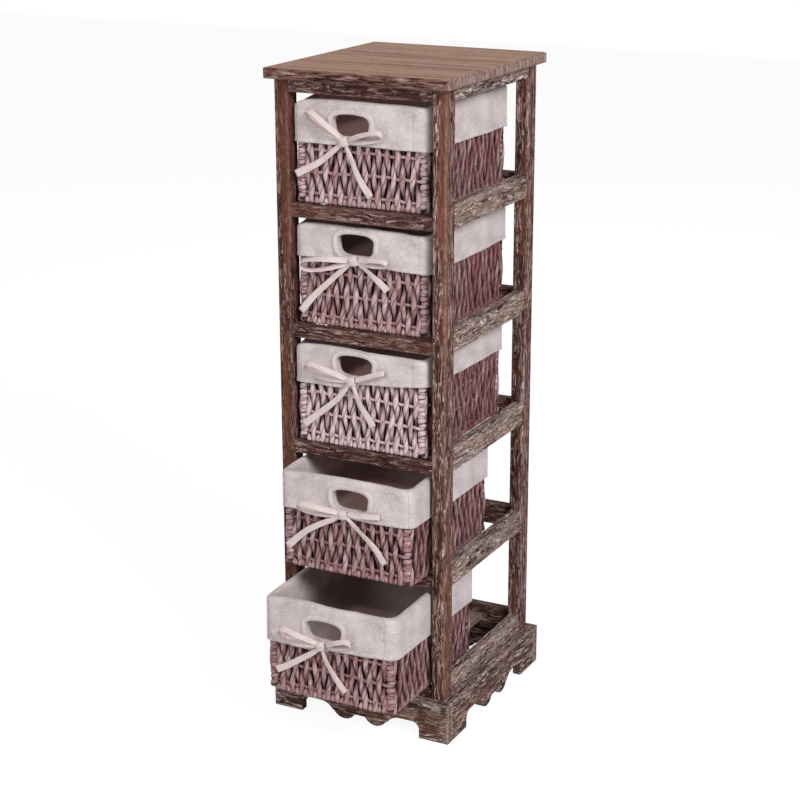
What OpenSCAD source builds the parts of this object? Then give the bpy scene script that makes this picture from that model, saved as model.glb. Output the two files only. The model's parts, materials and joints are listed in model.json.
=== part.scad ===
// A tall, narrow chest of drawers: a rack of weathered wood on a scalloped plinth, with five wicker
// baskets as its drawers. Each basket is woven over a wire frame and has a linen liner, folded over
// its rim and tied with a bow. Millimetres: X runs to the right, Y to the back and Z up. The origin
// is on the floor, midway between the four posts. Basket 1 is the top one and basket 5 the lowest.

/* [Rack] */
// Width of the rack across the outer faces of its posts
rack_w = 248; // [240:1:320]
// Depth of the rack across the outer faces of its posts
rack_d = 278; // [270:1:360]
// Width of a post, from side to side
post_w = 20; // [17:1:24]
// Depth of a post, from front to back
post_d = 26; // [23:1:34]
// Radius of the posts' rounded corners
post_round = 3; // [1:0.5:5]
// Height of the lowest basket's seat above the floor
first_seat = 71; // [66:1:100]
// Clear height of each bay, from a seat to the rail above it
bay_h = 145; // [134:1:200]

/* [Rails] */
// Height of the front rails
front_rail_h = 18; // [15:1:26]
// Thickness of the front rails
front_rail_t = 15; // [12:1:17]
// Height of the side and rear rails
side_rail_h = 32; // [26:1:45]
// Thickness of the side and rear rails
side_rail_t = 14; // [12:1:16]
// Height of the four rails under the top board
top_rail_h = 17; // [14:1:26]
// How far the rails lie behind the posts' outer faces
rail_setback = 2; // [0:0.5:4]
// Radius of the rails' eased edges
rail_round = 1.5; // [0.5:0.5:3]
// Length of a tenon
tenon_l = 8; // [5:0.5:9]
// Thickness of a tenon
tenon_t = 7; // [5:0.5:8]
// Height that a tenon loses above and below
tenon_shoulder = 3; // [1.5:0.5:4]

/* [Runner slats] */
// Width of the two slats that carry a basket
slat_w = 22; // [14:1:34]
// Thickness of a slat
slat_t = 9; // [6:1:12]
// Distance of a slat's centre line from the middle of the rack
slat_x = 48; // [30:1:62]
// How deep a slat's ends are housed in the rails
housing = 5; // [3:0.5:8]

/* [Top board] */
// Thickness of the top board
top_t = 15; // [12:1:25]
// How far the top board stands out past the posts at each side
top_over_side = 10; // [4:1:25]
// How far the top board stands out past the posts in front and behind
top_over_front = 13; // [4:1:25]
// Radius of the top board's rounded edges
top_edge = 5; // [2:0.5:5.5]
// Radius of the top board's corners seen from above
top_corner = 6; // [5.5:0.5:20]

/* [Plinth] */
// Height of the plinth boards
plinth_h = 57; // [50:1:62]
// Thickness of the plinth boards
plinth_t = 12; // [10:1:16]
// Size of the eased arris along the top of the plinth
plinth_ease = 1.5; // [0.5:0.5:3]
// Half the width of the cut-out between two feet
arch_half = 92; // [88:1:98]
// Height of the cut-out at its coves
arch_h = 23; // [20:1:30]
// Radius of the cove beside a foot
cove_r = 11; // [6:1:14]
// Radius of the two hanging lobes
lobe_r = 19; // [14:1:22]
// Distance of a lobe's centre from the middle of the board
lobe_x = 24.5; // [20:0.5:27]
// Gap between a lobe and the floor
lobe_gap = 3; // [1:0.5:8]
// Height of the small notch between the lobes
notch_h = 12.5; // [10:0.5:15]
// Width of the flat step between a lobe and the sweep beside it
step_w = 2; // [1:0.5:4]

/* [Baskets] */
// Distance of a pushed-home basket behind the front faces of the posts
basket_back = 19.5; // [12:0.5:60]
// Clearance between a basket and the post at each side
side_gap = 4; // [3.5:0.5:12]
// Clearance above a basket, under the rail
over_gap = 7; // [3:1:18]
// Running clearance under a basket
run_gap = 0.3; // [0.2:0.1:1]
// Gap left behind a basket that is pushed home
stop_gap = 0.5; // [0.3:0.1:3]
// Thickness of the woven wall
weave_t = 8; // [6:0.5:11]
// Distance between the upright ropes of the weave
rope_pitch = 7; // [7:0.5:12]
// Thickness of the woven base
base_t = 6; // [4.5:0.5:10]
// Radius of a basket's upright corners
corner_r = 10; // [9:0.5:16]
// Radius of the turned-under edge along a basket's base
foot_r = 7; // [4:0.5:8]
// Radius of the woven wall's rim
rim_r = 1.5; // [0.5:0.5:2.5]
// Diameter of the steel wire in the weave
wire_d = 3; // [2:0.5:4]

/* [Liners] */
// Thickness of the linen with its hems
cloth_t = 1.4; // [1:0.1:2]
// Gap between the linen and the weave
cloth_gap = 0.3; // [0.2:0.1:0.6]
// Radius of the fold over the rim
fold_r = 3; // [1:0.5:3]
// Width of the hand hole
hole_w = 56; // [46:1:70]
// Height of the hand hole
hole_h = 27; // [22:1:30]
// Radius of the hand hole's corners
hole_r = 11; // [6:1:11]
// Width of the bound edge around the hand hole
bind_w = 5; // [3:0.5:6]
// How far the bound edge stands out from the linen
bind_proud = 0.8; // [0.4:0.1:1.2]
// Width of the hem between the bound edge and the lower edge of the flap
hem_w = 5; // [3:0.5:9]
// Width of the ribbon in the bows
ribbon_w = 8; // [5:0.5:10]
// Thickness of the ribbon
ribbon_t = 1.2; // [0.8:0.1:2]
// Depth of a bow's loops, from front to back
loop_deep = 6; // [4:0.5:7]
// Radius of a bow's knot
knot_r = 4.5; // [3.5:0.5:6]

/* [Screws] */
// Diameter of the screws' shanks
screw_d = 4; // [3:0.5:5]
// Diameter of the screws' countersunk heads
head_d = 8; // [6:0.5:9]
// How far a screw bites into the board that it holds
bite = 8; // [5:0.5:9]
// Distance of the top board's front and rear screws from the middle
top_screw_x = 70; // [40:1:85]
// Height of the screws in the plinth's side boards
low_screw_z = 22; // [14:1:26]
// Height of the screws in the plinth's front and rear boards
high_screw_z = 40; // [34:1:42]

/* [Hidden] */
$fn = 48;
COUNT = 5;
// Overlap that keeps cuts clear of the faces they start from
EPS = 0.01;

// How each basket was left: how far it is drawn out from home, and how far it lies off the middle
DRAWN_OUT = [12, 11, 18, 67, 119];
OFF_MIDDLE = [-3, -3, -3, 0, 2];
// Each hand hole's centre, from the middle of the basket and down from its top
HOLE_X = [-13, -8, -8, 8, -8];
HOLE_DOWN = [33, 25, 24, 30, 37];
// Where each bow is tied, from the middle of the basket
KNOT_X = [-20, -8, -10, 0, -9];
// The ends of each bow's left loop, right loop, left tail and right tail, from its knot
BOW_ENDS = [
    [[-55, 35], [59, 12], [-73, -48], [35, -69]],
    [[-78, -10], [50, -1], [-82, -77], [46, -36]],
    [[-67, 15], [50, 19], [-75, -70], [30, -59]],
    [[-69, 4], [56, 6], [-89, -60], [60, -60]],
    [[-62, 10], [48, 18], [-72, -49], [35, -60]]
];
// The widths of each bow's left and right loops
LOOP_W = [[14, 11], [17, 12], [17, 9], [13, 8], [18, 12]];

// Gap between a rail's tenon and its mortise, a slat and its housing, and a screw and its hole
joint_gap = 0.1;

bay_w = rack_w - 2 * post_w;
pitch = bay_h + front_rail_h;
post_h = first_seat + COUNT * bay_h + (COUNT - 1) * front_rail_h + top_rail_h;
rack_h = post_h + top_t;
top_rail_z = post_h - top_rail_h;
post_x = (rack_w - post_w) / 2;
post_y = (rack_d - post_d) / 2;
front_y = -rack_d / 2 + rail_setback;
front_mid_y = front_y + front_rail_t / 2;
rear_y = rack_d / 2 - rail_setback - side_rail_t;
rear_mid_y = rear_y + side_rail_t / 2;
side_x = rack_w / 2 - rail_setback - side_rail_t;
side_mid_x = side_x + side_rail_t / 2;
side_len = rack_d - 2 * post_d;

basket_w = bay_w - 2 * side_gap;
basket_h = bay_h - run_gap - over_gap;
basket_d = rear_y - stop_gap + rack_d / 2 - basket_back;
weave_w = basket_w - 2 * (cloth_t + cloth_gap);
weave_d = basket_d - 2 * (cloth_t + cloth_gap);
weave_h = basket_h - cloth_t - cloth_gap - wire_d / 2;
bag_w = weave_w - 2 * (weave_t + cloth_gap);
bag_d = weave_d - 2 * (weave_t + cloth_gap);
bag_z = base_t + cloth_gap;
bag_r = max(1, corner_r - cloth_t - weave_t - cloth_gap);
bag_inner_r = max(0.5, bag_r - cloth_t);
front_wall = 2 * (cloth_t + cloth_gap) + weave_t;
wire_r = wire_d / 2;
wire_corner_r = corner_r - weave_t / 2;
groove_deep = weave_t / 2 - wire_r - joint_gap - 0.3;
groove_half = min(groove_deep, rope_pitch / 2 - 1);
home_y = rear_y - stop_gap - basket_d;

// Half widths of a lobe and of the sweep beside it, at the height of the notch
lobe_half = sqrt(pow(lobe_r, 2) - pow(lobe_gap + lobe_r - notch_h, 2));
sweep_half = sqrt(pow(arch_h, 2) - pow(notch_h, 2));
sweep_x = lobe_x + lobe_half + step_w + sweep_half;

// Height of the seat of basket i
function seat(i) = first_seat + (COUNT - i) * pitch;

// Height above basket i's foot of the lower edge of its bound hand hole, where its bow is tied
function knot_z(i) = basket_h - HOLE_DOWN[i - 1] - hole_h / 2 - bind_w;

// Points on a quadratic curve from a to b, drawn towards c
function bend(a, c, b, steps = 10) =
    [for (k = [0:steps]) let (t = k / steps) (1 - t) * (1 - t) * a + 2 * t * (1 - t) * c + t * t * b];

function unit(v) = v / norm(v);
function across(v) = [-v[1], v[0]];

// Direction of a path at its point k
function heading(path, k) =
    unit(path[min(k + 1, len(path) - 1)] - path[max(k - 1, 0)]);

// Outline of a strip along a path, from width w0 at its start to w1 at its end
function strip(path, w0, w1) =
    let (n = len(path) - 1)
    concat(
        [for (k = [0:n]) path[k] + across(heading(path, k)) * (w0 + (w1 - w0) * k / n) / 2],
        [for (k = [n:-1:0]) path[k] - across(heading(path, k)) * (w0 + (w1 - w0) * k / n) / 2]
    );

// Outline of a drop from its point a to its round end b, w wide
function drop(a, b, w) =
    let (along = (b - a) / 2, side = across(unit(b - a)) * w * 0.65)
    [for (t = [7.5:15:352.5]) a + along * (1 - cos(t)) + side * sin(t) * sin(t / 2)];

// Rectangle w by h on the origin, with corners of radius r
module round_rect(w, h, r) {
    square([w - 2 * r, h], center = true);
    square([w, h - 2 * r], center = true);
    for (sx = [-1, 1]) for (sy = [-1, 1])
        translate([sx * (w / 2 - r), sy * (h / 2 - r)]) circle(r);
}

// Rectangle w by h standing on the X axis, with foot corners of radius rf and head corners of rh
module block_profile(w, h, rf, rh) {
    translate([-w / 2 + rf, 0]) square([w - 2 * rf, h - rh]);
    translate([-w / 2, rf]) square([w, h - rf - rh]);
    translate([-w / 2 + rh, rf]) square([w - 2 * rh, h - rf]);
    for (s = [-1, 1]) {
        translate([s * (w / 2 - rf), rf]) circle(rf);
        translate([s * (w / 2 - rh), h - rh]) circle(rh);
    }
}

// Block w by d by h, its upright edges rounded by r, its foot by rf and its head by rh
module round_block(w, d, h, r, rf, rh) {
    intersection() {
        translate([0, 0, -1]) linear_extrude(h + 2) round_rect(w, d, r);
        rotate([90, 0, 0]) translate([0, 0, -d]) linear_extrude(2 * d) block_profile(w, h, rf, rh);
        rotate([90, 0, 90]) translate([0, 0, -w]) linear_extrude(2 * w) block_profile(d, h, rf, rh);
    }
}

// Screw along +Z, its head flush with the face at z = 0, or its hole when it is larger by gap
module screw(grip, gap = 0) {
    shank_r = screw_d / 2 + gap;
    cylinder(r = shank_r, h = grip + bite + gap);
    translate([0, 0, -gap])
        cylinder(r1 = head_d / 2 + 2 * gap, r2 = shank_r, h = (head_d - screw_d) / 2 + gap);
}

// Rail along X with a tenon at each end
module rail_x(len_x, t, h, mid_y, z) {
    translate([0, mid_y, z + h / 2]) {
        rotate([90, 0, 90]) linear_extrude(len_x, center = true) round_rect(t, h, rail_round);
        cube([len_x + 2 * tenon_l, tenon_t, h - 2 * tenon_shoulder], center = true);
    }
}

// Rail along Y with a tenon at each end
module rail_y(len_y, t, h, mid_x, z) {
    translate([mid_x, 0, z + h / 2]) {
        rotate([90, 0, 0]) linear_extrude(len_y, center = true) round_rect(t, h, rail_round);
        cube([tenon_t, len_y + 2 * tenon_l, h - 2 * tenon_shoulder], center = true);
    }
}

// Mortises for a rail of height h whose foot is at z, right through the bay
module mortise_x(mid_y, h, z) {
    translate([0, mid_y, z + h / 2])
        cube([bay_w + 2 * (tenon_l + joint_gap), tenon_t + 2 * joint_gap,
              h - 2 * tenon_shoulder + 2 * joint_gap], center = true);
}

module mortise_y(mid_x, h, z) {
    translate([mid_x, 0, z + h / 2])
        cube([tenon_t + 2 * joint_gap, side_len + 2 * (tenon_l + joint_gap),
              h - 2 * tenon_shoulder + 2 * joint_gap], center = true);
}

// Screws from the posts out into the plinth boards
module plinth_screws(gap = 0) {
    for (sx = [-1, 1]) for (sy = [-1, 1]) {
        translate([sx * bay_w / 2, sy * post_y, low_screw_z])
            rotate([0, sx * 90, 0]) screw(post_w, gap);
        translate([sx * post_x, sy * side_len / 2, high_screw_z])
            rotate([-sy * 90, 0, 0]) screw(post_d, gap);
    }
}

// Screws up through the top rails into the board
module top_screws(gap = 0) {
    for (s = [-1, 1]) for (y = [front_mid_y, rear_mid_y])
        translate([s * top_screw_x, y, top_rail_z]) screw(top_rail_h, gap);
    for (s = [-1, 1]) translate([s * side_mid_x, 0, top_rail_z]) screw(top_rail_h, gap);
}

// Pair of slats under basket i, or its housings in the rails when it is larger by gap
module slat_pair(i, gap = 0) {
    y0 = front_y + front_rail_t - housing - gap;
    for (s = [-1, 1])
        translate([s * slat_x - slat_w / 2 - gap, y0, seat(i) - slat_t])
            cube([slat_w + 2 * gap, rear_y + housing + gap - y0, slat_t + gap]);
}

module top_board() {
    color("#8d7263") translate([0, 0, post_h]) difference() {
        round_block(rack_w + 2 * top_over_side, rack_d + 2 * top_over_front, top_t,
                    top_corner, top_edge, top_edge);
        translate([0, 0, -post_h]) top_screws(joint_gap);
    }
}

module post(sx, sy) {
    color("#5f4a41") difference() {
        translate([sx * post_x, sy * post_y, 0]) linear_extrude(post_h)
            round_rect(post_w, post_d, post_round);
        for (i = [1:COUNT]) {
            if (sy < 0) mortise_x(front_mid_y, front_rail_h, seat(i) - front_rail_h);
            else mortise_x(rear_mid_y, side_rail_h, seat(i) - front_rail_h);
            mortise_y(sx * side_mid_x, side_rail_h, seat(i) - front_rail_h);
        }
        mortise_x(sy < 0 ? front_mid_y : rear_mid_y, top_rail_h, top_rail_z);
        mortise_y(sx * side_mid_x, top_rail_h, top_rail_z);
        plinth_screws(joint_gap);
    }
}

module top_rail_across(mid_y, t) {
    color("#57433b") difference() {
        rail_x(bay_w, t, top_rail_h, mid_y, top_rail_z);
        top_screws(joint_gap);
    }
}

module top_rail_side(s) {
    color("#57433b") difference() {
        rail_y(side_len, side_rail_t, top_rail_h, s * side_mid_x, top_rail_z);
        top_screws(joint_gap);
    }
}

module front_rail(i) {
    color("#6a5449") difference() {
        rail_x(bay_w, front_rail_t, front_rail_h, front_mid_y, seat(i) - front_rail_h);
        slat_pair(i, joint_gap);
    }
}

module rear_rail(i) {
    color("#6a5449") difference() {
        rail_x(bay_w, side_rail_t, side_rail_h, rear_mid_y, seat(i) - front_rail_h);
        slat_pair(i, joint_gap);
    }
}

module side_rail(i, s) {
    color("#6a5449")
        rail_y(side_len, side_rail_t, side_rail_h, s * side_mid_x, seat(i) - front_rail_h);
}

module slats(i) {
    color("#8a7468") slat_pair(i);
}

// Face of a plinth board, w long and standing on the X axis, with its scalloped cut-out
module apron(w) {
    cove_x = arch_half - cove_r;
    difference() {
        translate([-w / 2, 0]) square([w, plinth_h]);
        for (side = [0, 1]) mirror([side, 0]) {
            translate([cove_x, arch_h - cove_r]) circle(cove_r);
            translate([cove_x - EPS, -EPS]) square([cove_r + EPS, arch_h - cove_r + EPS]);
            translate([sweep_x, -EPS]) square([cove_x - sweep_x, arch_h + EPS]);
            intersection() {
                translate([sweep_x, 0]) circle(arch_h);
                square([cove_x, arch_h]);
            }
        }
        difference() {
            translate([-sweep_x, -EPS]) square([2 * sweep_x, notch_h + EPS]);
            for (side = [-1, 1]) translate([side * lobe_x, lobe_gap + lobe_r]) circle(lobe_r);
        }
    }
}

// Plinth board of length w, its outer face towards -Y at y
module plinth_board(w, y) {
    translate([0, y, 0]) difference() {
        rotate([90, 0, 0]) translate([0, 0, -plinth_t]) linear_extrude(plinth_t) apron(w);
        translate([0, 0, plinth_h]) rotate([45, 0, 0])
            cube([w + 2, plinth_ease * sqrt(2), plinth_ease * sqrt(2)], center = true);
    }
}

module plinth_across(s) {
    color("#463430") difference() {
        rotate([0, 0, s < 0 ? 0 : 180])
            plinth_board(rack_w + 2 * plinth_t, -rack_d / 2 - plinth_t);
        plinth_screws(joint_gap);
    }
}

module plinth_side(s) {
    color("#4c3933") difference() {
        rotate([0, 0, s * 90]) plinth_board(rack_d, -rack_w / 2 - plinth_t);
        plinth_screws(joint_gap);
    }
}

module screws() {
    color("#9a9a98") {
        plinth_screws();
        top_screws();
    }
}

// Moves what is drawn for basket i to its place in the rack: its front face is at y = 0 and its
// foot at z = 0
module in_bay(i) {
    translate([OFF_MIDDLE[i - 1], home_y - DRAWN_OUT[i - 1], seat(i) + run_gap]) children();
}

// Hand hole of basket i, from y0 to y1, larger by grow all round
module hand_hole(i, y0, y1, grow = 0) {
    translate([HOLE_X[i - 1], y1, basket_h - HOLE_DOWN[i - 1]]) rotate([90, 0, 0])
        linear_extrude(y1 - y0) round_rect(hole_w + 2 * grow, hole_h + 2 * grow, hole_r + grow);
}

// Closed loop of round wire of radius r, w by d between centre lines
module wire_loop(w, d, r) {
    x = w / 2 - wire_corner_r;
    y = d / 2 - wire_corner_r;
    for (s = [-1, 1]) {
        translate([0, s * d / 2, 0]) rotate([0, 90, 0]) cylinder(r = r, h = 2 * x, center = true);
        translate([s * w / 2, 0, 0]) rotate([90, 0, 0]) cylinder(r = r, h = 2 * y, center = true);
    }
    for (k = [0:3])
        translate([k == 0 || k == 3 ? x : -x, k < 2 ? y : -y, 0]) rotate([0, 0, 90 * k])
            rotate_extrude(angle = 90) translate([wire_corner_r, 0]) circle(r);
}

// Wire frame inside the woven wall, or its channel when it is larger by gap: a rim loop, a base
// loop and four uprights
module wire_frame(gap = 0) {
    w = weave_w - weave_t;
    d = weave_d - weave_t;
    inset = wire_corner_r * (1 - sqrt(0.5));
    translate([0, basket_d / 2, 0]) {
        for (z = [base_t, weave_h]) translate([0, 0, z]) wire_loop(w, d, wire_r + gap);
        for (sx = [-1, 1]) for (sy = [-1, 1])
            translate([sx * (w / 2 - inset), sy * (d / 2 - inset), base_t])
                cylinder(r = wire_r + gap, h = weave_h - base_t);
    }
}

// Points of one wall, len long, from its left end: a notch on each side of every upright rope, each
// as its place along the wall and its depth
function notched(len, proud) =
    let (n = floor((len - 2 * corner_r) / (2 * rope_pitch)),
         half = groove_half * (1 + proud / groove_deep))
    [for (k = [-n:n]) for (p = [[-half, -proud], [0, groove_deep], [half, -proud]])
        [k * rope_pitch + p[0], p[1]]];

// Outline of the four walls with the grooves between their ropes, square at its corners and
// otherwise proud of the walls
module rope_outline(proud = 0.2) {
    x = weave_w / 2;
    y = weave_d / 2;
    ends = notched(weave_w, proud);
    sides = notched(weave_d, proud);
    polygon(concat(
        [for (p = ends) [p[0], p[1] - y]], [[x + proud, -y - proud]],
        [for (p = sides) [x - p[1], p[0]]], [[x + proud, y + proud]],
        [for (p = ends) [-p[0], y - p[1]]], [[-x - proud, y + proud]],
        [for (p = sides) [p[1] - x, -p[0]]], [[-x - proud, -y - proud]]
    ));
}

module basket_weave(i) {
    color("#8c6a66") in_bay(i) difference() {
        translate([0, basket_d / 2, 0]) intersection() {
            round_block(weave_w, weave_d, weave_h, corner_r, foot_r, rim_r);
            translate([0, 0, -1]) linear_extrude(weave_h + 2) rope_outline();
        }
        translate([0, basket_d / 2, base_t]) linear_extrude(basket_h)
            round_rect(weave_w - 2 * weave_t, weave_d - 2 * weave_t, bag_r + cloth_gap);
        hand_hole(i, -1, 2 * weave_t, cloth_t + cloth_gap);
        wire_frame(joint_gap);
    }
}

module basket_wire(i) {
    color("#77777a") in_bay(i) wire_frame();
}

module basket_liner(i) {
    drop = basket_h - knot_z(i) + hem_w;
    color("#dcd3d0") in_bay(i) difference() {
        union() {
            intersection() {
                translate([0, basket_d / 2, 0])
                    round_block(basket_w, basket_d, basket_h, corner_r + cloth_gap, 1, fold_r);
                union() {
                    translate([-basket_w, -1, basket_h - drop])
                        cube([2 * basket_w, basket_d + 2, drop + 1]);
                    translate([0, basket_d / 2, bag_z]) linear_extrude(basket_h)
                        round_rect(bag_w, bag_d, bag_r);
                }
            }
            hand_hole(i, -bind_proud, cloth_t, bind_w);
        }
        difference() {
            translate([0, basket_d / 2, -1]) linear_extrude(basket_h - cloth_t + 1)
                round_rect(basket_w - 2 * cloth_t, basket_d - 2 * cloth_t, corner_r - cloth_t);
            translate([0, basket_d / 2, bag_z]) linear_extrude(basket_h)
                round_rect(bag_w, bag_d, bag_r);
            hand_hole(i, 0, front_wall, cloth_t);
        }
        translate([0, basket_d / 2, bag_z + cloth_t]) linear_extrude(basket_h)
            round_rect(bag_w - 2 * cloth_t, bag_d - 2 * cloth_t, bag_inner_r);
        hand_hole(i, -2 * bind_proud, 2 * front_wall);
    }
}

// Flat shape in the plane of a basket's front, from depth y0 to y1 in front of the linen
module on_front(y0, y1) {
    translate([0, -y0, 0]) rotate([90, 0, 0]) linear_extrude(y1 - y0) children();
}

// One loop of a bow from its knot: a drop-shaped turn of ribbon, w wide
module bow_loop(tip, w) {
    away = unit(tip);
    on_front(bind_proud, bind_proud + loop_deep) difference() {
        polygon(drop([0, 0], tip, w));
        polygon(drop(away * knot_r, tip - away * ribbon_t, w - 2 * ribbon_t));
    }
}

// One tail of a bow from its knot: a hanging strip, narrower where it leaves the knot
module bow_tail(tip) {
    on_front(bind_proud, bind_proud + ribbon_t)
        polygon(strip(bend([0, 0], [tip[0] * 0.42, tip[1] * 0.58], tip), ribbon_w * 0.7, ribbon_w));
}

module basket_bow(i) {
    color("#e3dad6") in_bay(i) translate([KNOT_X[i - 1], 0, knot_z(i)]) {
        on_front(bind_proud, bind_proud + loop_deep + 1) circle(knot_r);
        for (k = [0, 1]) {
            bow_loop(BOW_ENDS[i - 1][k], LOOP_W[i - 1][k]);
            bow_tail(BOW_ENDS[i - 1][k + 2]);
        }
    }
}

top_board();
post(-1, -1);  // post_front_left
post(1, -1);  // post_front_right
post(-1, 1);  // post_rear_left
post(1, 1);  // post_rear_right
top_rail_across(front_mid_y, front_rail_t);  // top_rail_front
top_rail_across(rear_mid_y, side_rail_t);  // top_rail_rear
top_rail_side(-1);  // top_rail_left
top_rail_side(1);  // top_rail_right
plinth_across(-1);  // plinth_front
plinth_across(1);  // plinth_rear
plinth_side(-1);  // plinth_left
plinth_side(1);  // plinth_right
screws();
for (i = [1:COUNT]) {
    front_rail(i);
    rear_rail(i);
    side_rail(i, -1);
    side_rail(i, 1);
    slats(i);
    basket_weave(i);
    basket_wire(i);
    basket_liner(i);
    basket_bow(i);
}
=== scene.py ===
"""A tall chest of drawers: a limed rack on a scalloped plinth, with five lined wicker baskets.

The rack keeps its solids and gets weathered, limed wood. Each basket is woven strand by strand over
its wire frame, gets a linen liner folded over its rim, and is tied with a ribbon bow. Lengths are
written in millimetres and turned into metres where a mesh is made.
"""

import json
import logging
import math
from dataclasses import dataclass, field
from enum import Enum

import bpy
import numpy as np
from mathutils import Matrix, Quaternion, Vector


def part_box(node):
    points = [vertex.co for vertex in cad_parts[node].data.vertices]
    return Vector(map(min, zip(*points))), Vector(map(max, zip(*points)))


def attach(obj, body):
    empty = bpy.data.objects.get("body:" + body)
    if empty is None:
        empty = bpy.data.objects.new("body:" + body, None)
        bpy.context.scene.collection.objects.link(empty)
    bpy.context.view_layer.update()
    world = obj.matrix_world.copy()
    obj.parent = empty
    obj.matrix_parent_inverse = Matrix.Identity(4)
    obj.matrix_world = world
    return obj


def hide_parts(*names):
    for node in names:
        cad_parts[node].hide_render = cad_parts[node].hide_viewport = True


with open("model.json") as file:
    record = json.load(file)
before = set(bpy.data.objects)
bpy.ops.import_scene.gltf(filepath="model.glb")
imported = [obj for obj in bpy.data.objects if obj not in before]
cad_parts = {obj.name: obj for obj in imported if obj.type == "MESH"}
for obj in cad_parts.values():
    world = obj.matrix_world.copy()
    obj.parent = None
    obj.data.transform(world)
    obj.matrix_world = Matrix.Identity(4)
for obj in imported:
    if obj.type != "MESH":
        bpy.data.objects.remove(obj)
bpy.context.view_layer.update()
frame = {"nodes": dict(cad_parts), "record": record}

LOG = logging.getLogger("chest_of_drawers")
MM = 0.001
Colour = tuple[float, float, float]
RIGHT, UP = np.array([1.0, 0.0, 0.0]), np.array([0.0, 0.0, 1.0])


class Axis(Enum):
    """The way a board's grain runs, as the turn that lays its pattern that way."""

    X = (0.0, math.pi / 2, 0.0)
    Y = (math.pi / 2, 0.0, 0.0)
    Z = (0.0, 0.0, 0.0)


# Numbers and paths


def smooth(t: np.ndarray) -> np.ndarray:
    """A smooth step from 0 to 1 as t goes from 0 to 1."""
    t = np.clip(t, 0.0, 1.0)
    return t * t * (3 - 2 * t)


def unit(v: np.ndarray) -> np.ndarray:
    """The rows of v, each at length 1."""
    return v / np.maximum(np.linalg.norm(v, axis=-1, keepdims=True), 1e-12)


def square_to(along: np.ndarray, side: np.ndarray) -> np.ndarray:
    """The directions side, made square to the directions along."""
    return unit(side - along * (side * along).sum(-1, keepdims=True))


def reach_along(line: np.ndarray) -> np.ndarray:
    """How far each point of a line lies from its start, along the line."""
    return np.concatenate([[0], np.cumsum(np.linalg.norm(np.diff(line, axis=0), axis=1))])


def ring_angles(count: int) -> np.ndarray:
    """The angles of count corners, evenly round a circle."""
    return np.arange(count) * 2 * math.pi / count


def ripple(s: np.ndarray, t: np.ndarray, seed: int, waves: int, longest: float,
           shortest: float) -> np.ndarray:
    """A gentle random relief, the mean of a few waves.

    Args:
        s: Place along the cloth, in millimetres.
        t: Place across the cloth, in millimetres.
        seed: Start of the random draws.
        waves: How many waves are added.
        longest: Longest wavelength, in millimetres.
        shortest: Shortest wavelength, in millimetres.

    Returns:
        Heights of about -1 to 1.
    """
    rng = np.random.default_rng(seed)
    total = np.zeros(np.broadcast(s, t).shape)
    for _ in range(waves):
        length = longest * (shortest / longest) ** rng.random()
        turn = rng.uniform(0, math.pi)
        phase = rng.uniform(0, 2 * math.pi)
        along = s * math.cos(turn) + t * math.sin(turn)
        total = total + np.sin(2 * math.pi * along / length + phase)
    return total / math.sqrt(waves)


def curve_through(points: list[np.ndarray], count: int) -> np.ndarray:
    """A smooth open curve through points (Catmull-Rom), evenly counted.

    Args:
        points: The points that it passes through.
        count: How many samples come back.

    Returns:
        The samples, one row each.
    """
    p = np.array(points, float)
    p = np.vstack([2 * p[0] - p[1], p, 2 * p[-1] - p[-2]])
    t = np.linspace(0, len(points) - 1, count)
    k = np.minimum(t.astype(int), len(points) - 2)
    f = (t - k)[:, None]
    a, b, c, d = p[k], p[k + 1], p[k + 2], p[k + 3]
    return 0.5 * (2 * b + (c - a) * f + (2 * a - 5 * b + 4 * c - d) * f ** 2
                  + (3 * b - a - 3 * c + d) * f ** 3)


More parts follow.
